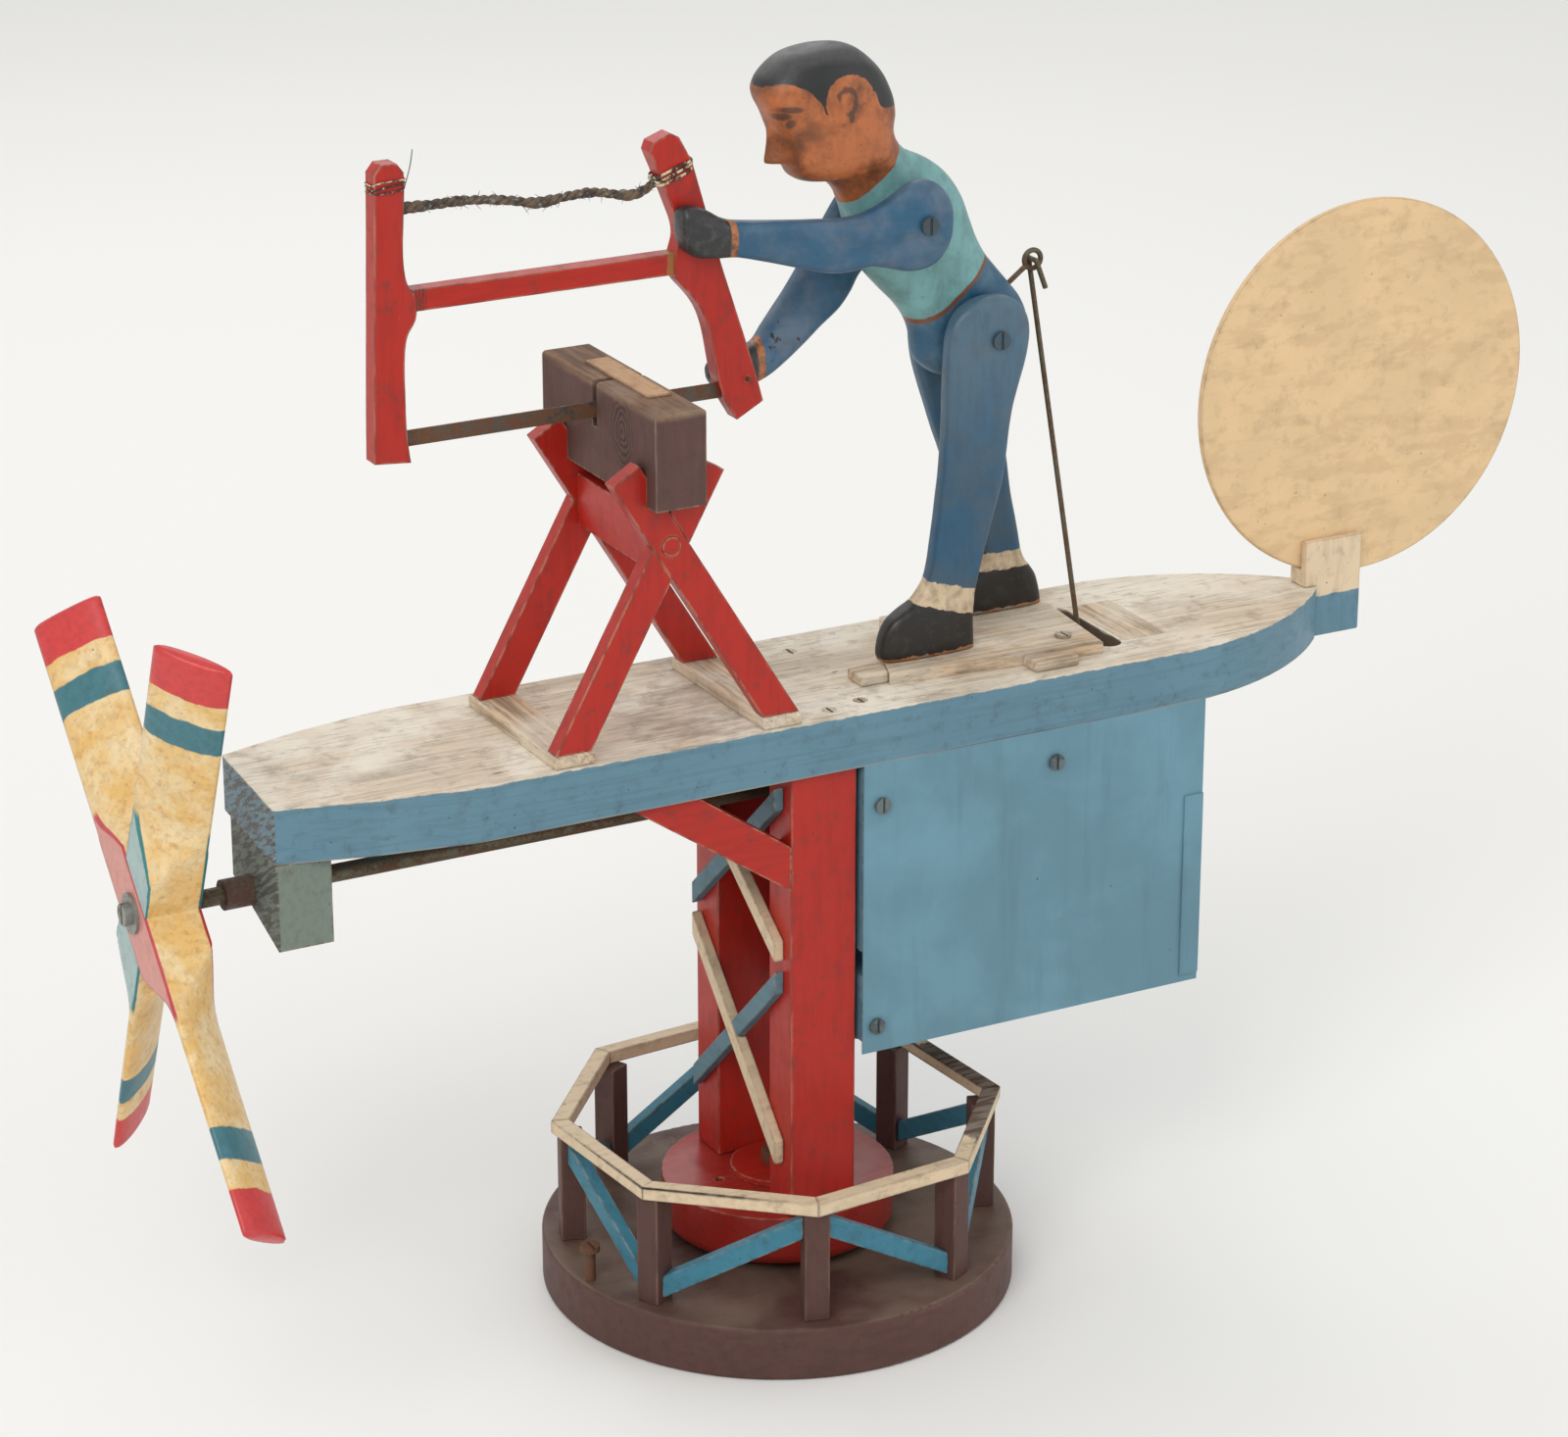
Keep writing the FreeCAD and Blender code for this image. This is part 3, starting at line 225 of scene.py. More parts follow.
def carved_grid(rows, count, around, squareness, nose_width=0.004):
    """Points of a form carved from a board, as a (count, around, 3) grid in metres.

    Each row is (front x, front z, back x, back z, centre y, half thickness, nose), in mm, with z
    above the deck. A section is a superellipse: its long axis runs from the back point to the
    front one, and its short axis along y. The nose pushes the front outwards by a bell curve of
    the distance from the middle.
    """
    fine = smooth_rows(rows, count) * MM
    angle = np.linspace(0, 2 * np.pi, around, endpoint=False)
    angle = angle + 0.35 * np.sin(angle)
    c, s = np.cos(angle - np.pi), np.sin(angle - np.pi)
    power = 2.0 / squareness
    long = np.sign(c) * np.abs(c) ** power
    short = np.sign(s) * np.abs(s) ** power
    front, back = fine[:, 0:2], fine[:, 2:4]
    middle, reach = (front + back) / 2, (front - back) / 2
    xz = middle[:, None] + reach[:, None] * long[None, :, None]
    half = np.maximum(fine[:, 5], 1e-5)[:, None] * short[None]
    y = fine[:, 4][:, None] + half
    nose = fine[:, 6] if fine.shape[1] > 6 else np.zeros(count)
    push = nose[:, None] * np.exp(-(half / nose_width) ** 2) * (long[None] > 0)
    unit = reach / np.maximum(np.linalg.norm(reach, axis=1), 1e-6)[:, None]
    xz = xz + unit[:, None] * push[..., None]
    return np.stack([xz[..., 0], y, xz[..., 1] + DECK_TOP], -1)


def swept_tube(path, radius, around=10):
    """Round tube along a path of points: rings stand square to the path's direction."""
    path = np.asarray(path, float)
    run = np.gradient(path, axis=0)
    run /= np.linalg.norm(run, axis=1)[:, None]
    side = np.cross(run, [0.13, 0.21, 0.97])
    side /= np.linalg.norm(side, axis=1)[:, None]
    other = np.cross(run, side)
    angle = np.linspace(0, 2 * np.pi, around, endpoint=False)[None, :, None]
    radius = np.broadcast_to(np.asarray(radius, float), len(path))[:, None, None]
    return path[:, None] + radius * (np.cos(angle) * side[:, None] + np.sin(angle) * other[:, None])


def eased_copy(node, width, angle=0.6):
    """Copy of a CAD board whose triangles are merged to whole faces, with softly rounded edges."""
    piece = bpy.data.objects.new(node.replace("_", "-"), NODES[node].data.copy())
    bpy.context.scene.collection.objects.link(piece)
    form = bmesh.new()
    form.from_mesh(piece.data)
    bmesh.ops.remove_doubles(form, verts=form.verts, dist=2e-6)
    bmesh.ops.dissolve_limit(form, angle_limit=0.02, verts=form.verts, edges=form.edges)
    form.to_mesh(piece.data)
    form.free()
    piece.data.materials.clear()
    piece.data.polygons.foreach_set("use_smooth", np.full(len(piece.data.polygons), True))
    piece.data.set_sharp_from_angle(angle=angle)
    bevel = piece.modifiers.new("eased edges", "BEVEL")
    bevel.width = width
    bevel.segments = 2
    bevel.limit_method = "ANGLE"
    bevel.angle_limit = angle
    bevel.harden_normals = True
    bevel.use_clamp_overlap = True
    settle(piece, node)
    return piece


def settle(piece, *nodes):
    """The piece stands for these CAD nodes, which it hides, and rides on their body."""
    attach(piece, BODY_OF[nodes[0]])
    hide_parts(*nodes)


def dress(piece, material):
    """Puts one material on a piece or on a CAD node's own slots."""
    if len(piece.material_slots) == 0:
        piece.data.materials.append(material)
    for slot in piece.material_slots:
        slot.material = material


# ---- node trees --------------------------------------------------------------------------------
class Tree:
    """A node tree that is built by calls: an argument that is a socket is linked, and any other
    one is set as the input's value."""

    def __init__(self, tree):
        self.tree = tree

    def node(self, kind, inputs=(), **settings):
        made = self.tree.nodes.new(kind)
        for name, value in settings.items():
            setattr(made, name, value)
        for key, value in dict(inputs).items():
            socket = made.inputs[key]
            if isinstance(value, bpy.types.NodeSocket):
                self.tree.links.new(value, socket)
            else:
                socket.default_value = value
        return made

    def math(self, operation, a, b=0.0):
        return self.node("ShaderNodeMath", {0: a, 1: b}, operation=operation).outputs[0]

    def plus(self, a, b):
        return self.math("ADD", a, b)

    def minus(self, a, b):
        return self.math("SUBTRACT", a, b)

    def times(self, a, b):
        return self.math("MULTIPLY", a, b)

    def rest(self, share):
        """What is left of one after a share is taken."""
        return self.math("SUBTRACT", 1.0, share)

    def vector(self, operation, a, b=(0, 0, 0)):
        made = self.node("ShaderNodeVectorMath", {0: a, 1: b}, operation=operation)
        return made.outputs["Value" if operation in ("LENGTH", "DOT_PRODUCT", "DISTANCE") else 0]

    def step(self, value, low, high):
        """0 below low, 1 above high, and a smooth rise between them."""
        made = self.node("ShaderNodeMapRange", {0: value, 1: low, 2: high, 3: 0.0, 4: 1.0},
                         interpolation_type="SMOOTHSTEP")
        return made.outputs[0]

    def mix(self, factor, a, b, blend="MIX"):
        made = self.node("ShaderNodeMix", {0: factor, 6: a, 7: b}, data_type="RGBA",
                         blend_type=blend, clamp_factor=True)
        return made.outputs[2]

    def blend(self, factor, a, b):
        return self.node("ShaderNodeMix", {0: factor, 2: a, 3: b}, data_type="FLOAT").outputs[0]

    def noise(self, vector, scale, detail=4.0, rough=0.55, distort=0.0):
        made = self.node("ShaderNodeTexNoise", {"Vector": vector, "Scale": scale, "Detail": detail,
                                                "Roughness": rough, "Distortion": distort})
        return made.outputs[0]

    def stretch(self, vector, scale, turn=(0, 0, 0)):
        made = self.node("ShaderNodeMapping", {"Vector": vector, "Scale": scale, "Rotation": turn})
        return made.outputs[0]

    def axes(self, vector):
        made = self.node("ShaderNodeSeparateXYZ", {0: vector})
        return made.outputs[0], made.outputs[1], made.outputs[2]

    def group(self, name, inputs):
        return self.node("ShaderNodeGroup", inputs, node_tree=bpy.data.node_groups[name]).outputs


def shader_group(name, inputs, outputs, build):
    """Makes a named node group once: build gets the tree and its inputs and returns its outputs."""
    if name in bpy.data.node_groups:
        return
    group = bpy.data.node_groups.new(name, "ShaderNodeTree")
    for label, (kind, value) in inputs.items():
        socket = group.interface.new_socket(label, in_out="INPUT", socket_type=kind)
        if value is not None:
            socket.default_value = value
    for label, kind in outputs.items():
        group.interface.new_socket(label, in_out="OUTPUT", socket_type=kind)
    source = group.nodes.new("NodeGroupInput")
    sink = group.nodes.new("NodeGroupOutput")
    made = build(Tree(group), source.outputs)
    for label, socket in made.items():
        group.links.new(socket, sink.inputs[label])


NUMBER, VECTOR = "NodeSocketFloat", "NodeSocketVector"


def build_effects():
    """The effects that several finishes share."""

    def mottle(tree, given):
        broad = tree.noise(given["Vector"], given["Scale"], 5.0, 0.6, 0.3)
        finer = tree.times(given["Scale"], 5.3)
        fine = tree.noise(given["Vector"], finer, 4.0, 0.65)
        return {"Broad": broad, "Fine": fine}

    shader_group("Mottle", {"Vector": (VECTOR, None), "Scale": (NUMBER, 30.0)},
                 {"Broad": NUMBER, "Fine": NUMBER}, mottle)

    def grain(tree, given):
        drawn = tree.vector("MULTIPLY", given["Vector"], given["Stretch"])
        bent = tree.noise(drawn, 0.35, 2.0)
        lines = tree.noise(drawn, 1.0, 7.0, 0.68, 0.4)
        rings = tree.noise(tree.vector("ADD", drawn, tree.vector("SCALE", drawn)), 0.45, 3.0)
        pores = tree.step(tree.noise(drawn, 3.4, 3.0, 0.7), 0.56, 0.70)
        tone = tree.blend(0.45, lines, tree.step(rings, 0.3, 0.7))
        return {"Tone": tree.blend(0.15, tone, bent), "Pores": pores}

    shader_group("Wood grain", {"Vector": (VECTOR, None), "Stretch": (VECTOR, (60, 500, 500))},
                 {"Tone": NUMBER, "Pores": NUMBER}, grain)

    def edge_wear(tree, given):
        rounded = tree.node("ShaderNodeBevel", {"Radius": given["Width"]}, samples=4).outputs[0]
        true = tree.node("ShaderNodeNewGeometry").outputs["True Normal"]
        turn = tree.rest(tree.vector("DOT_PRODUCT", rounded, true))
        torn = tree.noise(given["Vector"], given["Tear"], 5.0, 0.7)
        reach = tree.times(tree.times(turn, 16.0), given["Amount"])
        worn = tree.minus(tree.plus(reach, torn), 1.0)
        return {"Mask": tree.step(worn, 0.0, 0.14)}

    shader_group("Edge wear", {"Vector": (VECTOR, None), "Width": (NUMBER, 0.0015),
                               "Tear": (NUMBER, 260.0), "Amount": (NUMBER, 0.5)},
                 {"Mask": NUMBER}, edge_wear)

    def chips(tree, given):
        patches = tree.noise(given["Vector"], given["Scale"], 6.0, 0.72)
        where = tree.noise(given["Vector"], 14.0, 2.0)
        level = tree.plus(patches, tree.times(where, 0.35))
        edge = tree.minus(1.02, tree.times(given["Amount"], 0.28))
        lost = tree.step(tree.minus(level, edge), 0.0, 0.012)
        return {"Mask": lost}

    shader_group("Paint chips", {"Vector": (VECTOR, None), "Scale": (NUMBER, 180.0),
                                 "Amount": (NUMBER, 0.5)}, {"Mask": NUMBER}, chips)

    def specks(tree, given):
        cell = tree.node("ShaderNodeTexVoronoi", {"Vector": given["Vector"],
                                                  "Scale": given["Scale"], "Randomness": 1.0})
        pick = tree.axes(cell.outputs["Color"])[0]
        size = tree.times(tree.minus(pick, given["Sparse"]), 0.9)
        dot = tree.step(tree.minus(size, cell.outputs["Distance"]), 0.0, 0.06)
        return {"Mask": dot}

    shader_group("Specks", {"Vector": (VECTOR, None), "Scale": (NUMBER, 220.0),
                            "Sparse": (NUMBER, 0.7)}, {"Mask": NUMBER}, specks)


def new_material(name):
    """Empty material: its tree, its shader and the object's own coordinates."""
    material = bpy.data.materials.new(name)
    material.use_nodes = True
    material.node_tree.nodes.clear()
    tree = Tree(material.node_tree)
    shader = tree.node("ShaderNodeBsdfPrincipled")
    output = tree.node("ShaderNodeOutputMaterial")
    material.node_tree.links.new(shader.outputs[0], output.inputs[0])
    place = tree.node("ShaderNodeTexCoord").outputs["Object"]
    return material, tree, shader, place


def finish_shader(tree, shader, colour, rough, height, depth=0.0006, strength=0.6):
    """Colour, roughness and a bump of the given depth, in metres, on the shader."""
    tree.tree.links.new(colour, shader.inputs["Base Color"])
    tree.tree.links.new(rough, shader.inputs["Roughness"])
    bump = tree.node("ShaderNodeBump", {"Height": height, "Distance": depth, "Strength": strength})
    tree.tree.links.new(bump.outputs[0], shader.inputs["Normal"])


def rgb(colour, shade=1.0):
    return (colour[0] * shade, colour[1] * shade, colour[2] * shade, 1.0)


def weathered(tree, place, colour, grain=(60, 500, 500), under=None, chips=1.0, edge=1.0,
              gloss=0.42, grime=1.0, edge_width=0.0016, fade=0.35):
    """Old brush-painted wood: colour, roughness and height sockets.

    colour may be a socket. The paint fades in broad patches, shows the grain faintly, is gone at
    edges and in chips down to the wood, and holds grime.
    """
    wear = bpy.context.scene.whirligig_wear
    paints = bpy.context.scene.whirligig_paints
    under = under or rgb(paints.wood, 0.8)
    mottle = tree.group("Mottle", {"Vector": place, "Scale": 26.0})
    lines = tree.group("Wood grain", {"Vector": place, "Stretch": grain})
    worn = tree.group("Edge wear", {"Vector": place, "Width": edge_width,
                                    "Amount": wear.edges * edge})["Mask"]
    lost = tree.group("Paint chips", {"Vector": place, "Amount": wear.chips * chips})["Mask"]
    light = tree.times(tree.step(mottle["Broad"], 0.35, 0.75), fade)
    paler = tree.mix(1.0, colour, (1.35, 1.3, 1.25, 1), "MULTIPLY")
    tone = tree.mix(light, colour, paler)
    dark = tree.times(tree.step(mottle["Fine"], 0.50, 0.78), 0.45 * wear.grime * grime * 2)
    tone = tree.mix(dark, tone, (0.045, 0.036, 0.03, 1), "MIX")
    streak = tree.times(tree.step(lines["Tone"], 0.45, 0.7), 0.22)
    tone = tree.mix(streak, tone, (0.55, 0.5, 0.47, 1), "MULTIPLY")
    ground = tree.mix(tree.step(lines["Tone"], 0.35, 0.65), under, (0.10, 0.065, 0.045, 1))
    bare = tree.math("MAXIMUM", worn, lost)
    tone = tree.mix(bare, tone, ground)
    specks = tree.group("Specks", {"Vector": place, "Scale": 240.0, "Sparse": 0.80})["Mask"]
    tone = tree.mix(tree.times(specks, 0.7 * grime), tone, (0.05, 0.035, 0.028, 1))
    rough = tree.blend(bare, tree.blend(mottle["Fine"], gloss - 0.1, gloss + 0.22), 0.8)
    height = tree.minus(tree.times(lines["Tone"], 0.35),
                       tree.times(bare, 0.5))
    height = tree.plus(height, tree.times(mottle["Fine"], 0.25))
    return tone, rough, height


def painted_colour(tree, colour):
    """A plain paint colour as a socket."""
    flat = tree.node("ShaderNodeRGB")
    flat.outputs[0].default_value = rgb(colour)
    return flat.outputs[0]


def front_end(tree, place):
    """One on the slightly skewed front faces of the deck and its bearing block, nothing behind."""
    along = tree.vector("DOT_PRODUCT", place, (1, -NOSE_SKEW, 0))
    return tree.rest(tree.step(along, NOSE_FACE - 0.0006, NOSE_FACE))


def painted_finish(name, colour, coat=0.0, dust=0.0, **looks):
    """A plain colour of old paint on wood, with dust on what faces up."""
    material, tree, shader, place = new_material(name)
    tone, rough, height = weathered(tree, place, painted_colour(tree, colour), **looks)
    up = tree.axes(tree.node("ShaderNodeNewGeometry").outputs["Normal"])[2]
    drift = tree.step(tree.noise(place, 22.0, 4.0), 0.38, 0.62)
    settled = tree.times(tree.step(up, 0.6, 0.9), drift)
    tone = tree.mix(tree.times(settled, dust), tone, (0.185, 0.135, 0.095, 1))
    finish_shader(tree, shader, tone, rough, height)
    shader.inputs["Specular IOR Level"].default_value = 0.3
    shader.inputs["Coat Weight"].default_value = coat
    shader.inputs["Coat Roughness"].default_value = 0.25
    return material


def bare_wood(tree, place, grain=(22, 420, 420), pale=0.0, grey=0.3):
    """Weathered board with drawn-out grain, grey and pale streaks and stains."""
    wood = bpy.context.scene.whirligig_paints.wood
    lines = tree.group("Wood grain", {"Vector": place, "Stretch": grain})
    mottle = tree.group("Mottle", {"Vector": place, "Scale": 17.0})
    tone = tree.mix(tree.step(lines["Tone"], 0.30, 0.72), rgb(wood, 1.35), rgb(wood, 0.62))
    washed = tree.plus(tree.times(tree.step(mottle["Broad"], 0.38, 0.62), 0.55), pale)
    tone = tree.mix(washed, tone, (0.77, 0.71, 0.60, 1))
    tone = tree.mix(tree.times(tree.step(mottle["Fine"], 0.52, 0.72), grey), tone,
                    (0.24, 0.19, 0.15, 1))
    tone = tree.mix(tree.times(lines["Pores"], 0.55), tone, (0.17, 0.11, 0.07, 1))
    rough = tree.blend(mottle["Fine"], 0.72, 0.92)
    height = tree.minus(tree.times(lines["Tone"], 0.7),
                       tree.times(lines["Pores"], 0.4))
    return tone, rough, height


def bare_finish(name, **looks):
    material, tree, shader, place = new_material(name)
    finish_shader(tree, shader, *bare_wood(tree, place, **looks), depth=0.0007)
    return material


def metal_finish(name, colour, rust=(0.13, 0.052, 0.022), metallic=0.8, gloss=0.45, spread=0.5):
    """Old iron wire, screws and sheet: a dull metal under patches of matt rust."""
    material, tree, shader, place = new_material(name)
    mottle = tree.group("Mottle", {"Vector": place, "Scale": 110.0})
    level = tree.blend(0.5, mottle["Broad"], mottle["Fine"])
    patches = tree.step(level, 0.62 - spread * 0.3, 0.68 - spread * 0.2)
    dull = tree.mix(mottle["Fine"], rgb(colour, 0.75), rgb(colour, 1.3))
    tone = tree.mix(patches, dull, rgb(rust))
    rough = tree.blend(patches, gloss, 0.85)
    tree.tree.links.new(tree.blend(patches, metallic, 0.1), shader.inputs["Metallic"])
    finish_shader(tree, shader, tone, rough, mottle["Fine"], depth=0.0003)
    return material


def near_line(tree, x, z, points, soft=0.0006, ragged=None):
    """Mask of what lies above a drawn line: points are (x, z) in mm, z above the deck."""
    points = np.array(points, float) * MM
    points[:, 1] += DECK_TOP
    low, high = points.min(0), points.max(0)
    curve = tree.node("ShaderNodeFloatCurve")
    line = curve.mapping.curves[0]
    share_x = (points[:, 0] - low[0]) / (high[0] - low[0])
    share_z = (points[:, 1] - low[1]) / (high[1] - low[1])
    line.points[0].location = (share_x[0], share_z[0])
    line.points[1].location = (share_x[-1], share_z[-1])
    for u, v in zip(share_x[1:-1], share_z[1:-1]):
        line.points.new(u, v)
    for point in line.points:
        point.handle_type = "AUTO"
    curve.mapping.update()
    place = tree.node("ShaderNodeMapRange", {0: x, 1: low[0], 2: high[0]}).outputs[0]
    tree.tree.links.new(place, curve.inputs["Value"])
    level = tree.node("ShaderNodeMapRange", {0: curve.outputs[0], 1: 0.0, 2: 1.0, 3: low[1],
                                             4: high[1]}).outputs[0]
    above = tree.minus(z, level)
    if ragged is not None:
        above = tree.plus(above, ragged)
    return tree.step(above, -soft, soft), above


def oval(tree, x, z, centre, radii, ragged=None):
    """Distance from an oval's rim, in shares of its radius, negative inside."""
    across = tree.math("DIVIDE", tree.minus(x, centre[0] * MM), radii[0] * MM)
    up = tree.math("DIVIDE", tree.minus(z, centre[1] * MM + DECK_TOP), radii[1] * MM)
    far = tree.math("SQRT", tree.plus(tree.times(across, across),
                                      tree.times(up, up)))
    if ragged is not None:
        far = tree.plus(far, ragged)
    return tree.minus(far, 1.0)


def spot(tree, x, z, centre, radii, soft, ragged=None):
    """One inside an oval and nothing outside it, with a rim that is soft by a share of its radius."""
    return tree.rest(tree.step(oval(tree, x, z, centre, radii, ragged), -soft, soft))


def ragged_offset(tree, place, scale=320.0, size=0.0016):
    """Small wander of a painted border, in metres."""
    return tree.times(tree.minus(tree.noise(place, scale, 3.0, 0.6), 0.5), size)


def figure_finish():
    """Paint of the carved body: skin, hair, painted eye and ear, shirt, belt line and trousers."""
    paints = bpy.context.scene.whirligig_paints
    material, tree, shader, place = new_material("figure paint")
    x, _, z = tree.axes(place)
    wander = ragged_offset(tree, place)
    fine_wander = tree.times(wander, 120.0)
    mottle = tree.group("Mottle", {"Vector": place, "Scale": 55.0})
    skin = tree.mix(tree.step(mottle["Broad"], 0.36, 0.66), rgb(paints.skin, 1.25), rgb(paints.skin, 0.42))
    skin = tree.mix(tree.times(tree.step(mottle["Fine"], 0.55, 0.75), 0.5), skin,
                    (0.06, 0.02, 0.008, 1))
    hair_zone, _ = near_line(tree, x, z, HAIR_LINE, 0.0004, wander)
    ear_patch = tree.step(oval(tree, x, z, (30.4, 264.0), (12.0, 10.6), ragged=fine_wander), 0.0, 0.06)
    hair_mask = tree.times(hair_zone, ear_patch)
    # Painted highlight and wear: the hair's upward faces are painted lighter grey, partly a painted sheen
    # from above and partly rubbed paint.
    facing_up = tree.axes(tree.node("ShaderNodeNewGeometry").outputs["Normal"])[2]
    sheen_and_wear_top = tree.times(tree.step(facing_up, 0.45, 0.75), tree.blend(mottle["Fine"], 0.2, 1.0))
    hair = tree.mix(sheen_and_wear_top, rgb(paints.hair), (0.075, 0.078, 0.078, 1))
    smudge = tree.times(fine_wander, 3.0)
    ring = tree.math("ABSOLUTE", oval(tree, x, z, (28.2, 263.4), (4.6, 5.6), ragged=smudge))
    ear = tree.rest(tree.step(ring, 0.12, 0.34))
    slant = tree.plus(x, tree.times(z, 0.6))
    ear_gap = tree.step(slant, 0.0262 + 0.6 * (0.2595 + DECK_TOP), 0.0276 + 0.6 * (0.2605 + DECK_TOP))
    ear = tree.times(ear, ear_gap)
    lobe = spot(tree, x, z, (30.6, 256.6), (1.3, 2.4), 0.3)
    ear = tree.math("MAXIMUM", ear, lobe)
    brow = spot(tree, x, z, (3.6, 261.9), (5.0, 1.5), 0.4, smudge)
    lid = spot(tree, x, z, (1.4, 258.6), (3.0, 1.8), 0.4, smudge)
    under = spot(tree, x, z, (4.3, 255.6), (1.6, 2.4), 0.4, smudge)
    cheek = spot(tree, x, z, (13.5, 251.0), (4.0, 5.0), 0.6, smudge)
    skin = tree.mix(tree.times(cheek, 0.45), skin, (0.10, 0.035, 0.012, 1))
    marks = tree.math("MAXIMUM", tree.math("MAXIMUM", brow, lid), tree.math("MAXIMUM", under, ear))
    face = tree.mix(tree.times(marks, 0.75), skin, (0.035, 0.02, 0.015, 1))
    face = tree.mix(hair_mask, face, hair)
    above_collar, _ = near_line(tree, x, z, COLLAR_LINE, 0.0004, wander)
    above_belt, belt_far = near_line(tree, x, z, BELT_LINE, 0.0004, wander)
    shirt = tree.mix(tree.step(mottle["Broad"], 0.35, 0.7), rgb(paints.shirt, 1.12), rgb(paints.shirt, 0.74))
    trousers = tree.mix(tree.step(mottle["Broad"], 0.35, 0.7), rgb(paints.trousers, 1.0),
                        (0.075, 0.155, 0.22, 1))
    cloth = tree.mix(above_belt, trousers, shirt)
    belt = tree.rest(tree.step(tree.math("ABSOLUTE", belt_far), 0.0009, 0.0017))
    cloth = tree.mix(belt, cloth, (0.17, 0.06, 0.025, 1))
    colour = tree.mix(above_collar, cloth, face)
    tone, rough, height = weathered(tree, place, colour, grain=(300, 300, 60), chips=0.25,
                                    edge=0.0, gloss=0.38, grime=0.55, fade=0.12,
                                    under=(0.25, 0.12, 0.05, 1))
    finish_shader(tree, shader, tone, rough, height, depth=0.0004)
    return material


def sleeve_finish(name, cuff_x, hand_from, soot=False):
    """Blue sleeve, a bare wooden wrist and a dark hand: cuff_x is where the sleeve ends."""
    paints = bpy.context.scene.whirligig_paints
    material, tree, shader, place = new_material(name)
    x = tree.axes(place)[0]
    wander = ragged_offset(tree, place, 300.0, 0.002)
    mottle = tree.group("Mottle", {"Vector": place, "Scale": 45.0})
    cloth = tree.mix(tree.step(mottle["Broad"], 0.36, 0.68), rgb(paints.trousers, 1.05),
                     (0.085, 0.135, 0.20, 1))
    along = tree.plus(x, wander)
    wrist = tree.mix(tree.step(mottle["Fine"], 0.4, 0.65), (0.42, 0.15, 0.05, 1), (0.10, 0.05, 0.03, 1))
    colour = tree.mix(tree.step(along, cuff_x - 0.0004, cuff_x + 0.0004), wrist, cloth)
    hand = tree.mix(tree.step(mottle["Fine"], 0.45, 0.75), (0.020, 0.021, 0.022, 1), (0.060, 0.060, 0.058, 1))
    colour = tree.mix(tree.step(along, hand_from - 0.0004, hand_from + 0.0004), hand, colour)
    if soot:
        near = oval(tree, x, tree.axes(place)[2], (7.0, 155.0), (15.0, 9.0))
        level = tree.minus(tree.noise(place, 230.0, 3.0, 0.6), tree.times(near, 0.10))
        colour = tree.mix(tree.step(level, 0.66, 0.69), colour, (0.02, 0.018, 0.016, 1))
    tone, rough, height = weathered(tree, place, colour, grain=(60, 300, 300), chips=0.35, edge=0.25,
                                    gloss=0.36, grime=0.6, fade=0.15, under=(0.30, 0.2, 0.12, 1),
                                    edge_width=0.0012)
    finish_shader(tree, shader, tone, rough, height, depth=0.0004)
    return material


def leg_finish(name, sock_top, sock_low, tilt):
    """Blue trouser leg, cream sock band and black shoe, each with a ragged painted border."""
    paints = bpy.context.scene.whirligig_paints
    material, tree, shader, place = new_material(name)
    x, _, z = tree.axes(place)
    wander = ragged_offset(tree, place, 260.0, 0.0032)
    level = tree.plus(tree.plus(z, wander), tree.times(x, tilt))
    mottle = tree.group("Mottle", {"Vector": place, "Scale": 42.0})
    high = tree.step(z, DECK_TOP + 0.08, DECK_TOP + 0.15)
    cloth = tree.mix(tree.times(tree.step(mottle["Broad"], 0.40, 0.66), 0.8),
                     rgb(paints.trousers, 0.95), (0.045, 0.085, 0.12, 1))
    cloth = tree.mix(tree.times(high, 0.55), cloth, (0.10, 0.165, 0.215, 1))
    sock = tree.mix(tree.step(mottle["Fine"], 0.4, 0.7), (0.60, 0.47, 0.31, 1), (0.38, 0.29, 0.19, 1))
    shoe = tree.mix(tree.step(mottle["Fine"], 0.5, 0.8), (0.011, 0.009, 0.008, 1), (0.042, 0.032, 0.025, 1))
    sole = tree.mix(tree.step(mottle["Broad"], 0.4, 0.6), (0.35, 0.12, 0.03, 1), (0.30, 0.24, 0.18, 1))
    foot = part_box("near_leg")[0].z
    colour = tree.mix(tree.step(level, sock_low - 0.0003, sock_low + 0.0003), shoe, sock)
    colour = tree.mix(tree.step(level, sock_top - 0.0003, sock_top + 0.0003), colour, cloth)
    rim = tree.plus(z, tree.times(wander, 1.1))
    colour = tree.mix(tree.step(rim, foot + 0.0016, foot + 0.0022), sole, colour)
    tone, rough, height = weathered(tree, place, colour, grain=(300, 300, 60), chips=0.3, edge=0.3,
                                    gloss=0.36, grime=0.6, fade=0.12, under=(0.36, 0.26, 0.17, 1),
                                    edge_width=0.0012)
    finish_shader(tree, shader, tone, rough, height, depth=0.0004)
    return material


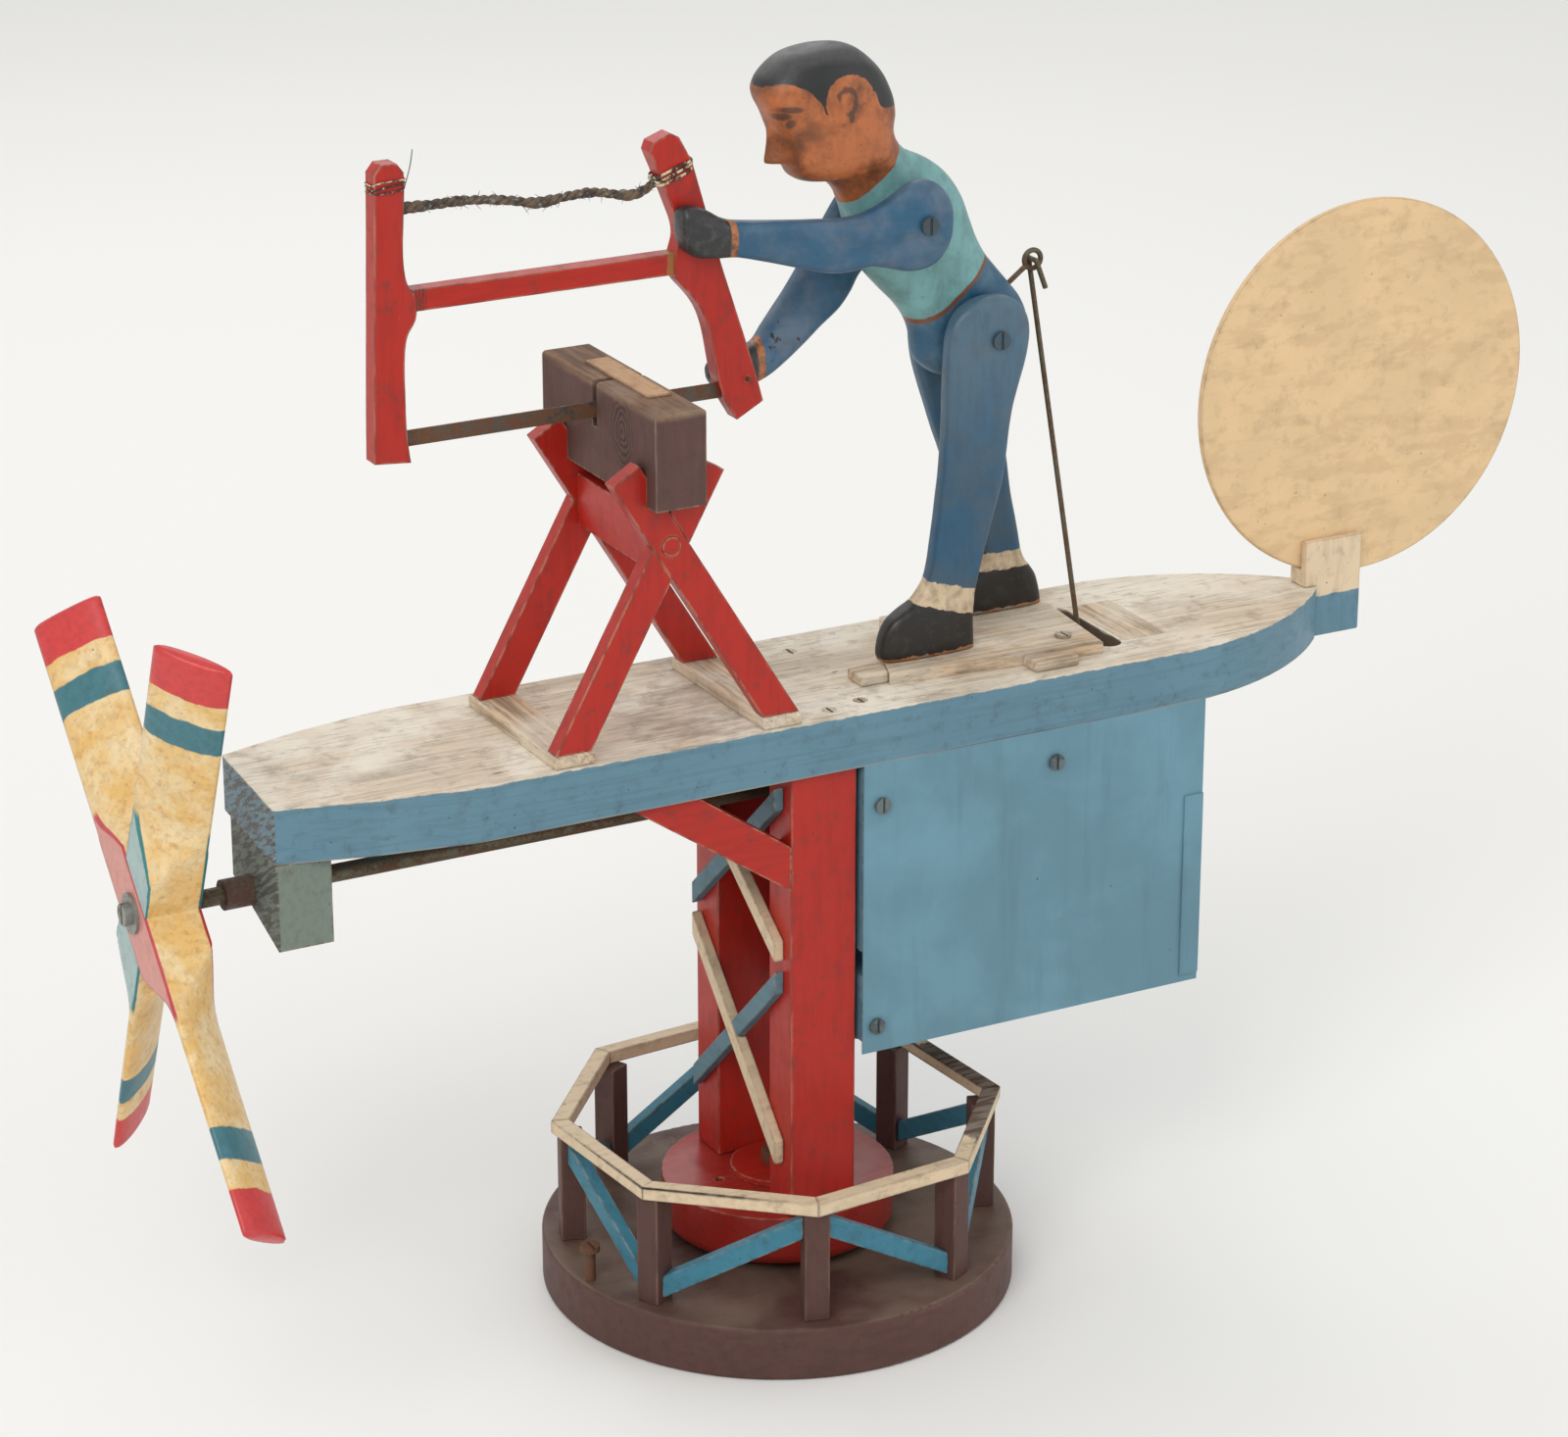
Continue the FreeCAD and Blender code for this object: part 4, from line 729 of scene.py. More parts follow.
def blade_finish(name, facet_colour, rim_colour):
    """Cream-yellow blade with foxing, a blue band and a red tip; the stick's leftover faces at the
    hub have their own colour with a dark rim."""
    paints = bpy.context.scene.whirligig_paints
    material, tree, shader, place = new_material(name)
    reach = tree.node("ShaderNodeAttribute", attribute_name="reach").outputs["Fac"]
    facet = tree.node("ShaderNodeAttribute", attribute_name="facet").outputs["Fac"]
    wander = ragged_offset(tree, place, 70.0, 0.03)
    along = tree.plus(reach, wander)
    mottle = tree.group("Mottle", {"Vector": place, "Scale": 62.0})
    cream = tree.mix(tree.step(mottle["Broad"], 0.36, 0.68), rgb(paints.blade), (0.78, 0.62, 0.36, 1))
    fox = tree.times(tree.step(mottle["Fine"], 0.50, 0.70), 0.42)
    cream = tree.mix(fox, cream, (0.46, 0.19, 0.045, 1))
    band = tree.mix(mottle["Fine"], rgb(paints.band, 0.8), rgb(paints.band, 1.5))
    tip = tree.mix(mottle["Fine"], rgb(paints.tip, 0.8), rgb(paints.tip, 1.25))
    in_band = tree.times(tree.step(along, 0.675, 0.681),
                        tree.rest(tree.step(along, 0.775, 0.781)))
    colour = tree.mix(in_band, cream, band)
    colour = tree.mix(tree.step(along, 0.858, 0.864), colour, tip)
    edge = tree.plus(facet, tree.times(wander, 0.02))
    flat = tree.mix(mottle["Fine"], rgb(facet_colour, 0.85), rgb(facet_colour, 1.1))
    root = tree.rest(tree.step(along, 0.34, 0.37))
    colour = tree.mix(tree.times(tree.step(edge, -0.0014, -0.0010), root), colour,
                      rgb(rim_colour))
    colour = tree.mix(tree.times(tree.step(edge, 0.0000, 0.0005), root), colour, flat)
    dots = tree.group("Specks", {"Vector": place, "Scale": 130.0, "Sparse": 0.86})["Mask"]
    colour = tree.mix(tree.times(dots, 0.8), colour, (0.14, 0.075, 0.03, 1))
    tone, rough, height = weathered(tree, place, colour, grain=(300, 300, 300), chips=0.22, edge=0.12,
                                    gloss=0.34, grime=0.32, fade=0.1, under=(0.50, 0.33, 0.18, 1),
                                    edge_width=0.001)
    finish_shader(tree, shader, tone, rough, height, depth=0.0003)
    shader.inputs["Coat Weight"].default_value = 0.15
    shader.inputs["Coat Roughness"].default_value = 0.3
    return material


def deck_finish():
    """Blue-painted sides and ends under a top worn to pale bare wood, with a dark stain."""
    paints = bpy.context.scene.whirligig_paints
    material, tree, shader, place = new_material("deck finish")
    x, y, z = tree.axes(place)
    side = painted_colour(tree, paints.blue)
    tone, rough, height = weathered(tree, place, side, grain=(16, 260, 500), chips=0.75, edge=0.7)
    ends = tree.group("Wood grain", {"Vector": tree.stretch(place, (1, 1, 1), turn=(0.45, 0, 0)),
                                     "Stretch": (200, 90, 640)})
    nose = front_end(tree, place)
    tone = tree.mix(tree.times(nose, tree.step(ends["Tone"], 0.46, 0.58)), tone,
                    (0.055, 0.06, 0.06, 1))
    tone = tree.mix(tree.times(nose, tree.step(ends["Pores"], 0.3, 0.9)), tone,
                    (0.42, 0.45, 0.44, 1))
    top, top_rough, top_height = bare_wood(tree, place, grain=(14, 330, 330), pale=0.45, grey=0.45)
    crack = tree.noise(tree.stretch(place, (26, 900, 1)), 1.0, 4.0, 0.7)
    top = tree.mix(tree.times(tree.step(crack, 0.60, 0.72), 0.5), top, (0.20, 0.14, 0.09, 1))
    around = oval(tree, x, z, (-46.0, 0.0), (62.0, 400.0))
    stain = tree.rest(tree.step(around, -0.8, 0.1))
    flow = tree.noise(tree.stretch(place, (1, 2.2, 1)), 24.0, 5.0, 0.65)
    stain = tree.times(stain, tree.step(flow, 0.42, 0.7))
    top = tree.mix(tree.times(stain, 0.7), top, (0.20, 0.14, 0.095, 1))
    knot = tree.noise(tree.stretch(place, (55, 140, 1)), 1.0, 2.0)
    top = tree.mix(tree.times(tree.step(knot, 0.70, 0.8), 0.7), top, (0.12, 0.06, 0.03, 1))
    wander = ragged_offset(tree, place, 120.0, 0.0022)
    is_top = tree.step(tree.plus(z, wander), DECK_TOP - 0.0011, DECK_TOP - 0.0003)
    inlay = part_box("deck_inlay")[0]
    from_inlay = tree.math("ABSOLUTE", tree.minus(x, inlay.x - 0.008))
    in_slot = tree.times(tree.math("LESS_THAN", from_inlay, 0.0085),
                        tree.math("LESS_THAN", tree.math("ABSOLUTE", y), 0.034))
    tone = tree.mix(in_slot, tone, (0.17, 0.125, 0.09, 1))
    tone = tree.mix(is_top, tone, top)
    finish_shader(tree, shader, tone, tree.blend(is_top, rough, top_rough),
                  tree.blend(is_top, height, top_height), depth=0.0007)
    return material


def log_finish():
    """Brown-stained log: grain up its faces, growth rings on a face and worn pale top edges."""
    paints = bpy.context.scene.whirligig_paints
    material, tree, shader, place = new_material("log finish")
    _, y, z = tree.axes(place)
    side = painted_colour(tree, paints.brown)
    tone, rough, height = weathered(tree, place, side, grain=(260, 500, 34), chips=0.2, edge=0.6,
                                    fade=0.7, gloss=0.7)
    knot = oval(tree, y, z, (-26.0, 138.0), (9.0, 12.0), ragged=tree.noise(place, 60.0, 3.0))
    rings = tree.math("SINE", tree.times(knot, 22.0))
    near = tree.rest(tree.step(knot, 0.2, 1.3))
    tone = tree.mix(tree.times(near, tree.step(rings, 0.0, 0.6)), tone, (0.035, 0.018, 0.014, 1))
    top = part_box("log")[1].z
    flat = tree.step(tree.plus(z, ragged_offset(tree, place, 90.0, 0.003)), top - 0.0042, top - 0.0006)
    pale = bare_wood(tree, place, grain=(420, 30, 420), grey=0.5)[0]
    pale = tree.mix(1.0, pale, (0.45, 0.36, 0.31, 1), "MULTIPLY")
    tone = tree.mix(tree.times(flat, 0.75), tone, pale)
    finish_shader(tree, shader, tone, tree.blend(flat, rough, 0.85), height, depth=0.0008)
    return material


def block_finish():
    """Green-grey bearing block with end grain on its front face and its edges worn."""
    paints = bpy.context.scene.whirligig_paints
    material, tree, shader, place = new_material("bearing block finish")
    side = painted_colour(tree, paints.block)
    tone, rough, height = weathered(tree, place, side, grain=(500, 40, 260), chips=0.5, edge=0.6, gloss=0.6)
    lines = tree.group("Wood grain", {"Vector": tree.stretch(place, (1, 1, 1), turn=(0.5, 0, 0)),
                                      "Stretch": (200, 70, 620)})
    front = front_end(tree, place)
    dark = tree.times(front, tree.step(lines["Tone"], 0.42, 0.55))
    tone = tree.mix(tree.times(dark, 0.75), tone, (0.05, 0.045, 0.038, 1))
    finish_shader(tree, shader, tone, rough, tree.blend(front, height, lines["Tone"]), depth=0.0009)
    return material


def tail_block_finish():
    """Tail block: cream above the deck's top, blue below it."""
    paints = bpy.context.scene.whirligig_paints
    material, tree, shader, place = new_material("tail block finish")
    z = tree.axes(place)[2]
    border = tree.plus(z, ragged_offset(tree, place, 130.0, 0.003))
    is_cream = tree.step(border, DECK_TOP - 0.0054, DECK_TOP - 0.0046)
    colour = tree.mix(is_cream, rgb(paints.blue), rgb(paints.cream))
    tone, rough, height = weathered(tree, place, colour, grain=(300, 300, 50), chips=0.6, edge=0.7)
    finish_shader(tree, shader, tone, rough, height)
    return material


def stretcher_finish():
    """Red stretcher with amber glue at its rear joint and dark thread round its front end."""
    paints = bpy.context.scene.whirligig_paints
    material, tree, shader, place = new_material("stretcher finish")
    low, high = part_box("saw_stretcher")
    along = tree.plus(tree.axes(place)[0], ragged_offset(tree, place, 260.0, 0.003))
    tone, rough, height = weathered(tree, place, painted_colour(tree, paints.red), grain=(45, 300, 300),
                                    gloss=0.34, fade=0.16)
    tone = tree.mix(tree.step(along, high.x - 0.0042, high.x - 0.0036), tone, (0.30, 0.12, 0.03, 1))
    turns = tree.math("SINE", tree.times(along, 4200.0))
    thread = tree.times(tree.math("LESS_THAN", along, low.x + 0.0068),
                       tree.math("GREATER_THAN", turns, -0.2))
    tone = tree.mix(tree.times(thread, 0.8), tone, (0.06, 0.025, 0.018, 1))
    finish_shader(tree, shader, tone, rough, height)
    shader.inputs["Specular IOR Level"].default_value = 0.3
    return material


def sheet_finish():
    """Thin steel cover in blue paint, with faint downward streaks and pin-prick rust."""
    paints = bpy.context.scene.whirligig_paints
    material, tree, shader, place = new_material("sheet cover finish")
    mottle = tree.group("Mottle", {"Vector": place, "Scale": 15.0})
    drawn = tree.noise(tree.stretch(place, (120, 120, 9)), 1.0, 5.0, 0.6)
    tone = tree.mix(tree.step(mottle["Broad"], 0.35, 0.68), rgb(paints.sheet), rgb(paints.sheet, 1.28))
    tone = tree.mix(tree.times(tree.step(drawn, 0.50, 0.74), 0.3), tone, rgb(paints.sheet, 0.55))
    rust = tree.group("Specks", {"Vector": place, "Scale": 150.0, "Sparse": 0.86})["Mask"]
    worn = tree.group("Paint chips", {"Vector": place, "Scale": 95.0, "Amount": 0.35})["Mask"]
    spoiled = tree.math("MAXIMUM", tree.times(rust, 0.8), worn)
    tone = tree.mix(spoiled, tone, (0.10, 0.045, 0.025, 1))
    rough = tree.blend(mottle["Fine"], 0.40, 0.62)
    finish_shader(tree, shader, tone, rough, tree.blend(0.5, mottle["Fine"], drawn), depth=0.0003)
    return material


def cord_finish():
    """Old waxed cord: brown, grey and rust-coloured fibres that follow the strands."""
    material, tree, shader, place = new_material("cord finish")
    mottle = tree.group("Mottle", {"Vector": place, "Scale": 170.0})
    tone = tree.mix(tree.step(mottle["Broad"], 0.36, 0.62), (0.04, 0.035, 0.032, 1), (0.15, 0.105, 0.068, 1))
    rusty = tree.step(mottle["Fine"], 0.52, 0.68)
    tone = tree.mix(tree.times(rusty, 0.6), tone, (0.26, 0.12, 0.045, 1))
    grey = tree.step(tree.noise(place, 420.0, 2.0), 0.6, 0.68)
    tone = tree.mix(tree.times(grey, 0.6), tone, (0.22, 0.27, 0.28, 1))
    fibre = tree.noise(tree.stretch(place, (500, 2500, 2500)), 1.0, 4.0)
    finish_shader(tree, shader, tone, tree.blend(mottle["Fine"], 0.75, 0.95), fibre, depth=0.0005)
    return material


def binding_finish():
    """Light and dark turns of old string."""
    material, tree, shader, place = new_material("binding finish")
    mottle = tree.group("Mottle", {"Vector": place, "Scale": 300.0})
    tone = tree.mix(tree.step(mottle["Broad"], 0.45, 0.55), (0.035, 0.028, 0.022, 1), (0.62, 0.50, 0.33, 1))
    finish_shader(tree, shader, tone, tree.blend(mottle["Fine"], 0.7, 0.95), mottle["Fine"], depth=0.0003)
    return material


def build_finishes():
    """Every finish by the name that the pieces ask for."""
    paints = bpy.context.scene.whirligig_paints
    build_effects()
    up, across, run = (300, 300, 45), (300, 45, 300), (45, 300, 300)
    red = {"coat": 0.08, "gloss": 0.34, "fade": 0.16}
    strip_blue, lattice_blue = (0.040, 0.185, 0.265), (0.105, 0.195, 0.24)
    return {
        "red up": painted_finish("red paint, grain up", paints.red, grain=up, **red),
        "red run": painted_finish("red paint, grain along", paints.red, grain=run, **red),
        "red disc": painted_finish("red turntable paint", (0.33, 0.020, 0.013), 0.3, grain=run, gloss=0.28,
                                   chips=0.7, fade=0.1),
        "brown": painted_finish("brown base paint", paints.brown, dust=0.6, grain=run, gloss=0.5, fade=0.4,
                                under=(0.24, 0.15, 0.10, 1)),
        "brown up": painted_finish("brown stanchion paint", paints.brown, grain=up, gloss=0.5,
                                   under=(0.24, 0.15, 0.10, 1)),
        "cream": painted_finish("cream paint", paints.cream, grain=run, gloss=0.5, chips=0.5, fade=0.2,
                                under=(0.21, 0.17, 0.14, 1)),
        "blue strip": painted_finish("blue strip paint", strip_blue, 0.08, grain=across, gloss=0.4),
        "lattice blue": painted_finish("lattice blue paint", lattice_blue, grain=across, gloss=0.5),
        "blue": painted_finish("blue wood paint", paints.blue, grain=run, chips=0.8),
        "bare": bare_finish("bare wood, grain along"),
        "bare across": bare_finish("bare wood, grain across", grain=(420, 22, 420)),
        "deck": deck_finish(), "log": log_finish(), "block": block_finish(),
        "tail block": tail_block_finish(), "sheet": sheet_finish(), "figure": figure_finish(),
        "vane": painted_finish("tail vane paint", paints.vane, grain=(60, 300, 160), gloss=0.6, chips=0.35,
                               fade=0.3, grime=0.5, edge_width=0.001),
        "near sleeve": sleeve_finish("near sleeve paint", -0.0272, -0.0305),
        "far sleeve": sleeve_finish("far sleeve paint", -0.003, -0.007, soot=True),
        "near leg": leg_finish("near leg paint", DECK_TOP + 0.0618, DECK_TOP + 0.0500, 0.3),
        "far leg": leg_finish("far leg paint", DECK_TOP + 0.0345, DECK_TOP + 0.0262, 0.0),
        "blade a": blade_finish("blade paint, red roots", (0.62, 0.24, 0.20), (0.50, 0.04, 0.05)),
        "blade b": blade_finish("blade paint, blue roots", (0.33, 0.46, 0.45), (0.03, 0.20, 0.21)),
        "rust": metal_finish("rusty steel", paints.steel, metallic=0.6, spread=0.9),
        "dark steel": metal_finish("dark saw steel", (0.10, 0.085, 0.07), metallic=0.6, spread=0.6),
        "grey steel": metal_finish("grey steel", (0.30, 0.31, 0.29), rust=(0.16, 0.11, 0.07), spread=0.35),
        "green wire": metal_finish("green-grey wire", (0.13, 0.115, 0.075),
                                   rust=(0.10, 0.05, 0.025), spread=0.6),
        "pale screw": metal_finish("pale screw steel", (0.42, 0.37, 0.30),
                                   rust=(0.20, 0.12, 0.07), spread=0.4),
        "cover screw": metal_finish("cover screws", (0.14, 0.17, 0.175),
                                    rust=(0.07, 0.09, 0.10), metallic=0.5, spread=0.5),
        "stretcher": stretcher_finish(),
        "patch": painted_finish("bare patch", (0.47, 0.30, 0.18), grain=(420, 22, 420), gloss=0.75, chips=0.1,
                                fade=0.5, under=(0.30, 0.17, 0.10, 1)),
        "tube": metal_finish("bearing tube steel", (0.13, 0.10, 0.075),
                             rust=(0.11, 0.055, 0.04), metallic=0.4, gloss=0.6, spread=0.7),
        "limb screw": metal_finish("painted limb screws", (0.045, 0.085, 0.12), rust=(0.055, 0.07, 0.075),
                                   metallic=0.3, gloss=0.5),
        "cord": cord_finish(), "binding": binding_finish(),
    }


FINISH = {}


# ---- drawn lines of the figure, in mm, with z above the deck -------------------------------------
HAIR_LINE = [(-30.0, 272.5), (-16.3, 271.0), (-8.5, 270.4), (-3.0, 272.2), (2.0, 273.0), (7.0, 271.6),
             (10.7, 269.7), (14.0, 266.6), (16.9, 263.0), (18.8, 259.0), (20.8, 258.2), (23.0, 264.0),
             (26.0, 266.0), (36.0, 267.0), (42.5, 266.6), (44.6, 263.0), (46.6, 259.2), (50.0, 258.0),
             (70.0, 257.4)]
COLLAR_LINE = [(10.0, 210.5), (26.0, 211.0), (33.0, 213.8), (40.4, 218.4), (47.7, 224.6), (53.0, 229.0),
               (58.7, 236.8), (60.8, 239.5), (75.0, 246.0)]
BELT_LINE = [(50.0, 160.0), (63.6, 158.2), (69.6, 157.1), (79.3, 160.1), (86.8, 165.9), (95.4, 173.0),
             (105.1, 181.9), (125.0, 198.0)]

# front x, front z, back x, back z, centre y, half thickness, nose
BODY_ROWS = [
    (29.0, 286.4, 30.0, 286.4, 8, 0.6, 0), (16.5, 285.2, 39.9, 283.8, 8, 9.5, 0),
    (5.5, 282.3, 48.0, 277.8, 8, 15.0, 0), (-3.0, 275.8, 54.0, 270.8, 8, 17.8, 0),
    (-6.4, 269.6, 58.0, 262.8, 8, 19.0, 0), (-5.6, 264.8, 59.5, 257.8, 8, 19.3, 0),
    (-2.4, 258.8, 60.0, 252.8, 8, 19.2, 0), (0.2, 252.6, 59.5, 248.8, 8, 18.8, 0.8),
    (2.9, 246.2, 59.3, 245.8, 8, 18.3, 3.6), (4.6, 241.6, 59.8, 243.6, 8, 17.9, 6.0),
    (5.6, 238.6, 60.3, 242.2, 8, 17.6, 7.6), (6.0, 236.9, 60.6, 241.4, 8, 17.5, 7.6),
    (6.3, 236.1, 60.9, 241.0, 8, 17.4, 5.0), (6.7, 235.5, 61.1, 240.6, 8, 17.3, 0.9),
    (7.2, 234.6, 61.6, 240.0, 8, 17.2, 0.0),
    (8.3, 233.0, 62.5, 238.6, 8, 17.0, 0), (10.1, 230.0, 64.0, 237.2, 8, 16.2, 0),
    (13.4, 227.8, 65.3, 236.0, 8, 15.2, 0), (17.5, 226.8, 66.7, 235.0, 8, 14.6, 0),
    (23.0, 226.4, 68.3, 234.2, 8, 14.0, 0), (28.5, 224.4, 70.5, 233.2, 8, 13.3, 0),
    (32.3, 220.6, 75.0, 231.2, 8, 12.9, 0), (34.8, 215.2, 80.0, 228.2, 8, 13.3, 0),
    (36.8, 209.6, 85.5, 223.8, 8, 14.5, 0), (39.0, 202.2, 90.3, 218.2, 8, 15.4, 0),
    (42.2, 192.4, 94.7, 211.0, 8, 15.8, 0), (47.0, 182.8, 98.7, 201.0, 8, 15.4, 0),
    (55.0, 173.6, 102.2, 192.4, 8, 14.5, 0), (62.8, 165.6, 107.2, 183.6, 8, 13.4, 0),
    (68.0, 158.6, 113.0, 176.6, 8, 12.8, 0), (70.8, 152.0, 119.4, 169.2, 8, 12.4, 0),
    (72.0, 145.2, 126.0, 161.0, 8, 12.2, 0), (73.2, 139.2, 129.8, 152.2, 8, 12.0, 0),
    (77.5, 134.2, 130.0, 143.0, 8, 11.4, 0), (84.0, 130.2, 126.5, 134.6, 8, 9.6, 0),
    (95.0, 128.2, 115.0, 129.2, 8, 5.0, 0), (104.0, 128.0, 105.0, 128.0, 8, 0.5, 0),
]
# front x, front z, back x, back z
NEAR_LEG_ROWS = [
    (97.5, 168.6, 104.5, 168.4), (90.5, 166.6, 111.0, 166.6), (84.2, 162.6, 116.0, 162.6),
    (80.5, 157.1, 119.2, 157.1), (78.7, 150.6, 120.4, 150.6), (78.2, 144.1, 119.9, 144.1),
    (78.0, 136.1, 118.2, 136.1), (77.8, 127.1, 115.4, 127.1), (77.7, 116.6, 112.4, 116.6),
    (77.4, 106.1, 110.6, 106.1), (76.9, 97.1, 109.6, 97.1), (76.1, 87.1, 108.3, 87.1),
    (75.1, 78.9, 106.6, 78.9), (73.9, 68.1, 103.4, 68.1), (72.4, 57.1, 100.2, 57.1),
    (71.1, 48.1, 97.9, 48.1), (69.0, 40.1, 95.9, 40.1), (65.6, 35.1, 94.8, 35.1),
    (62.0, 31.3, 94.0, 31.3), (56.2, 27.8, 93.6, 27.8), (50.9, 24.3, 93.3, 24.3),
    (47.7, 20.1, 93.3, 20.1), (45.9, 15.1, 93.4, 15.1), (45.2, 9.1, 93.7, 9.1), (45.9, 6.2, 93.9, 5.9),
]
FAR_LEG_ROWS = [
    (98.0, 168.4, 104.0, 168.4), (91.0, 166.1, 111.5, 166.1), (86.0, 162.1, 117.0, 162.1),
    (83.0, 156.1, 120.0, 156.1), (82.0, 149.1, 121.5, 149.1), (82.0, 141.1, 122.5, 141.1),
    (83.4, 131.5, 124.0, 131.5), (86.6, 120.3, 125.5, 120.3), (90.3, 109.3, 127.2, 109.3),
    (94.1, 97.9, 129.0, 97.9), (97.9, 87.8, 130.8, 87.8), (102.0, 76.1, 132.7, 76.1),
    (108.0, 62.1, 134.7, 62.1), (113.5, 48.6, 137.6, 48.6), (117.0, 40.1, 139.3, 40.1),
    (118.8, 35.1, 140.2, 35.1), (119.3, 30.5, 141.6, 30.5), (118.2, 27.4, 143.2, 27.4),
    (114.5, 24.6, 145.5, 24.6), (109.0, 20.1, 148.5, 20.1), (106.3, 15.1, 150.2, 15.1),
    (105.3, 10.1, 151.3, 10.1), (106.0, 6.2, 152.0, 5.9),
]
# top x, top z, bottom x, bottom z, centre y, half thickness
NEAR_ARM_ROWS = [
    (78.0, 208.6, 78.0, 205.4, -14.5, 2.5), (76.8, 215.6, 76.2, 196.8, -14.5, 5.0),
    (74.0, 220.8, 72.2, 190.6, -14.5, 5.8), (69.5, 224.8, 67.5, 187.4, -14.5, 6.0),
    (64.0, 226.4, 61.5, 186.2, -14.5, 6.0), (57.5, 225.4, 55.0, 186.6, -14.5, 6.0),
    (50.5, 221.6, 48.5, 188.3, -14.5, 6.0), (43.0, 217.6, 42.2, 190.0, -14.5, 6.0),
    (36.0, 215.2, 36.5, 190.9, -14.4, 6.0), (30.0, 214.1, 30.5, 190.3, -14.2, 6.0),
    (22.0, 213.8, 22.5, 189.8, -13.7, 6.0), (12.0, 214.5, 13.0, 191.3, -12.7, 6.0),
    (0.0, 215.4, 0.5, 195.0, -11.5, 6.0), (-13.0, 216.7, -12.5, 198.8, -10.6, 6.0),
    (-23.5, 218.0, -25.0, 202.2, -10.3, 6.0), (-28.5, 218.9, -29.5, 202.8, -10.3, 6.2),
    (-33.5, 220.9, -35.0, 203.2, -10.3, 6.7), (-39.7, 224.7, -41.5, 203.9, -10.3, 7.0),
    (-44.5, 226.7, -46.5, 205.3, -10.3, 7.0), (-49.0, 227.5, -51.0, 209.1, -10.3, 6.7),
    (-52.0, 226.0, -52.6, 215.1, -10.3, 5.4), (-53.2, 222.6, -53.3, 218.6, -10.3, 2.2),
]
FAR_ARM_ROWS = [
    (77.5, 219.6, 78.5, 218.1, 30.5, 2.5), (71.0, 224.1, 80.5, 210.1, 30.5, 5.2),
    (63.0, 224.6, 80.0, 201.1, 30.5, 6.0), (54.0, 219.1, 76.0, 192.1, 30.5, 6.0),
    (46.0, 210.1, 70.0, 185.1, 30.3, 6.0), (38.0, 199.1, 62.0, 179.6, 29.5, 6.0),
    (30.5, 189.6, 55.0, 175.1, 27.8, 6.0), (24.0, 181.9, 49.5, 168.6, 25.6, 6.0),
    (16.0, 173.7, 42.0, 162.6, 22.6, 6.0), (9.0, 168.1, 31.0, 156.9, 19.2, 6.0),
    (1.0, 161.6, 20.0, 150.9, 15.4, 6.0), (-5.0, 156.9, 8.0, 144.6, 12.0, 6.0),
    (-10.0, 155.1, -0.5, 140.6, 10.4, 6.2), (-17.0, 153.6, -9.0, 137.6, 10.2, 6.4),
    (-24.0, 152.1, -17.5, 135.6, 10.2, 6.2), (-28.5, 148.6, -24.0, 136.6, 10.2, 5.0),
    (-29.2, 144.1, -27.5, 140.6, 10.2, 2.0),
]


def with_side(rows, y):
    """Adds the side position and half thickness to a leg's rows: thinner at the rounded top, wider
    at the shoe, and a little in at the sole."""
    made = []
    for k, row in enumerate(rows):
        wide = LIMB_HALF
        if k < 2:
            wide = LIMB_HALF * (0.45, 0.85)[k]
        if row[1] < 28:
            wide = SHOE_HALF
        if k == len(rows) - 1:
            wide = SHOE_HALF - 0.6
        made.append((*row, y, wide))
    return made


# ---- pieces ------------------------------------------------------------------------------------
class WHIRLIGIG_OT_stage(bpy.types.Operator):
    """Pale floor, soft studio light and the camera"""

    bl_idname = "whirligig.stage"
    bl_label = "Stage"

    def execute(self, context):
        floor_mesh = bpy.data.meshes.new("floor")
        floor_mesh.from_pydata([(-6, -6, 0), (6, -6, 0), (6, 6, 0), (-6, 6, 0)], [], [(0, 1, 2, 3)])
        floor = bpy.data.objects.new("floor", floor_mesh)
        context.scene.collection.objects.link(floor)
        material = bpy.data.materials.new("floor paper")
        material.use_nodes = True
        shader = material.node_tree.nodes["Principled BSDF"]
        shader.inputs["Base Color"].default_value = (0.86, 0.855, 0.84, 1)
        shader.inputs["Roughness"].default_value = 0.9
        shader.inputs["Specular IOR Level"].default_value = 0.1
        floor.data.materials.append(material)
        world = bpy.data.worlds.new("soft room")
        world.use_nodes = True
        world.node_tree.nodes["Background"].inputs[0].default_value = (0.93, 0.93, 0.92, 1)
        world.node_tree.nodes["Background"].inputs[1].default_value = 0.86
        context.scene.world = world
        for name, place, aim, size, power, tint in (
            ("key light", (-1.6, -1.5, 2.1), (0, 0, 0.3), 1.3, 26, (1, 0.98, 0.95)),
            ("fill light", (1.9, -1.6, 1.2), (0, 0, 0.3), 1.8, 7, (0.95, 0.97, 1)),
            ("back light", (0.4, 1.9, 1.9), (0, 0, 0.35), 1.6, 10, (1, 1, 1)),
        ):
            data = bpy.data.lights.new(name, "AREA")
            data.size = size
            data.energy = power
            data.color = tint
            lamp = bpy.data.objects.new(name, data)
            lamp.location = place
            run = np.array(aim, float) - np.array(place)
            lamp.rotation_euler = (math.atan2(math.hypot(run[0], run[1]), -run[2]), 0,
                                   math.atan2(-run[0], run[1]))
            context.scene.collection.objects.link(lamp)
        data = bpy.data.cameras.new("camera")
        data.lens = 107.55
        data.sensor_width = 36
        data.sensor_fit = "HORIZONTAL"
        camera = bpy.data.objects.new("camera", data)
        camera.location = (-0.92327, -1.73168, 1.02841)
        camera.rotation_euler = (math.radians(69.013), 0, math.radians(-28.155))
        context.scene.collection.objects.link(camera)
        context.scene.camera = camera
        context.scene.view_settings.view_transform = "Standard"
        return {"FINISHED"}


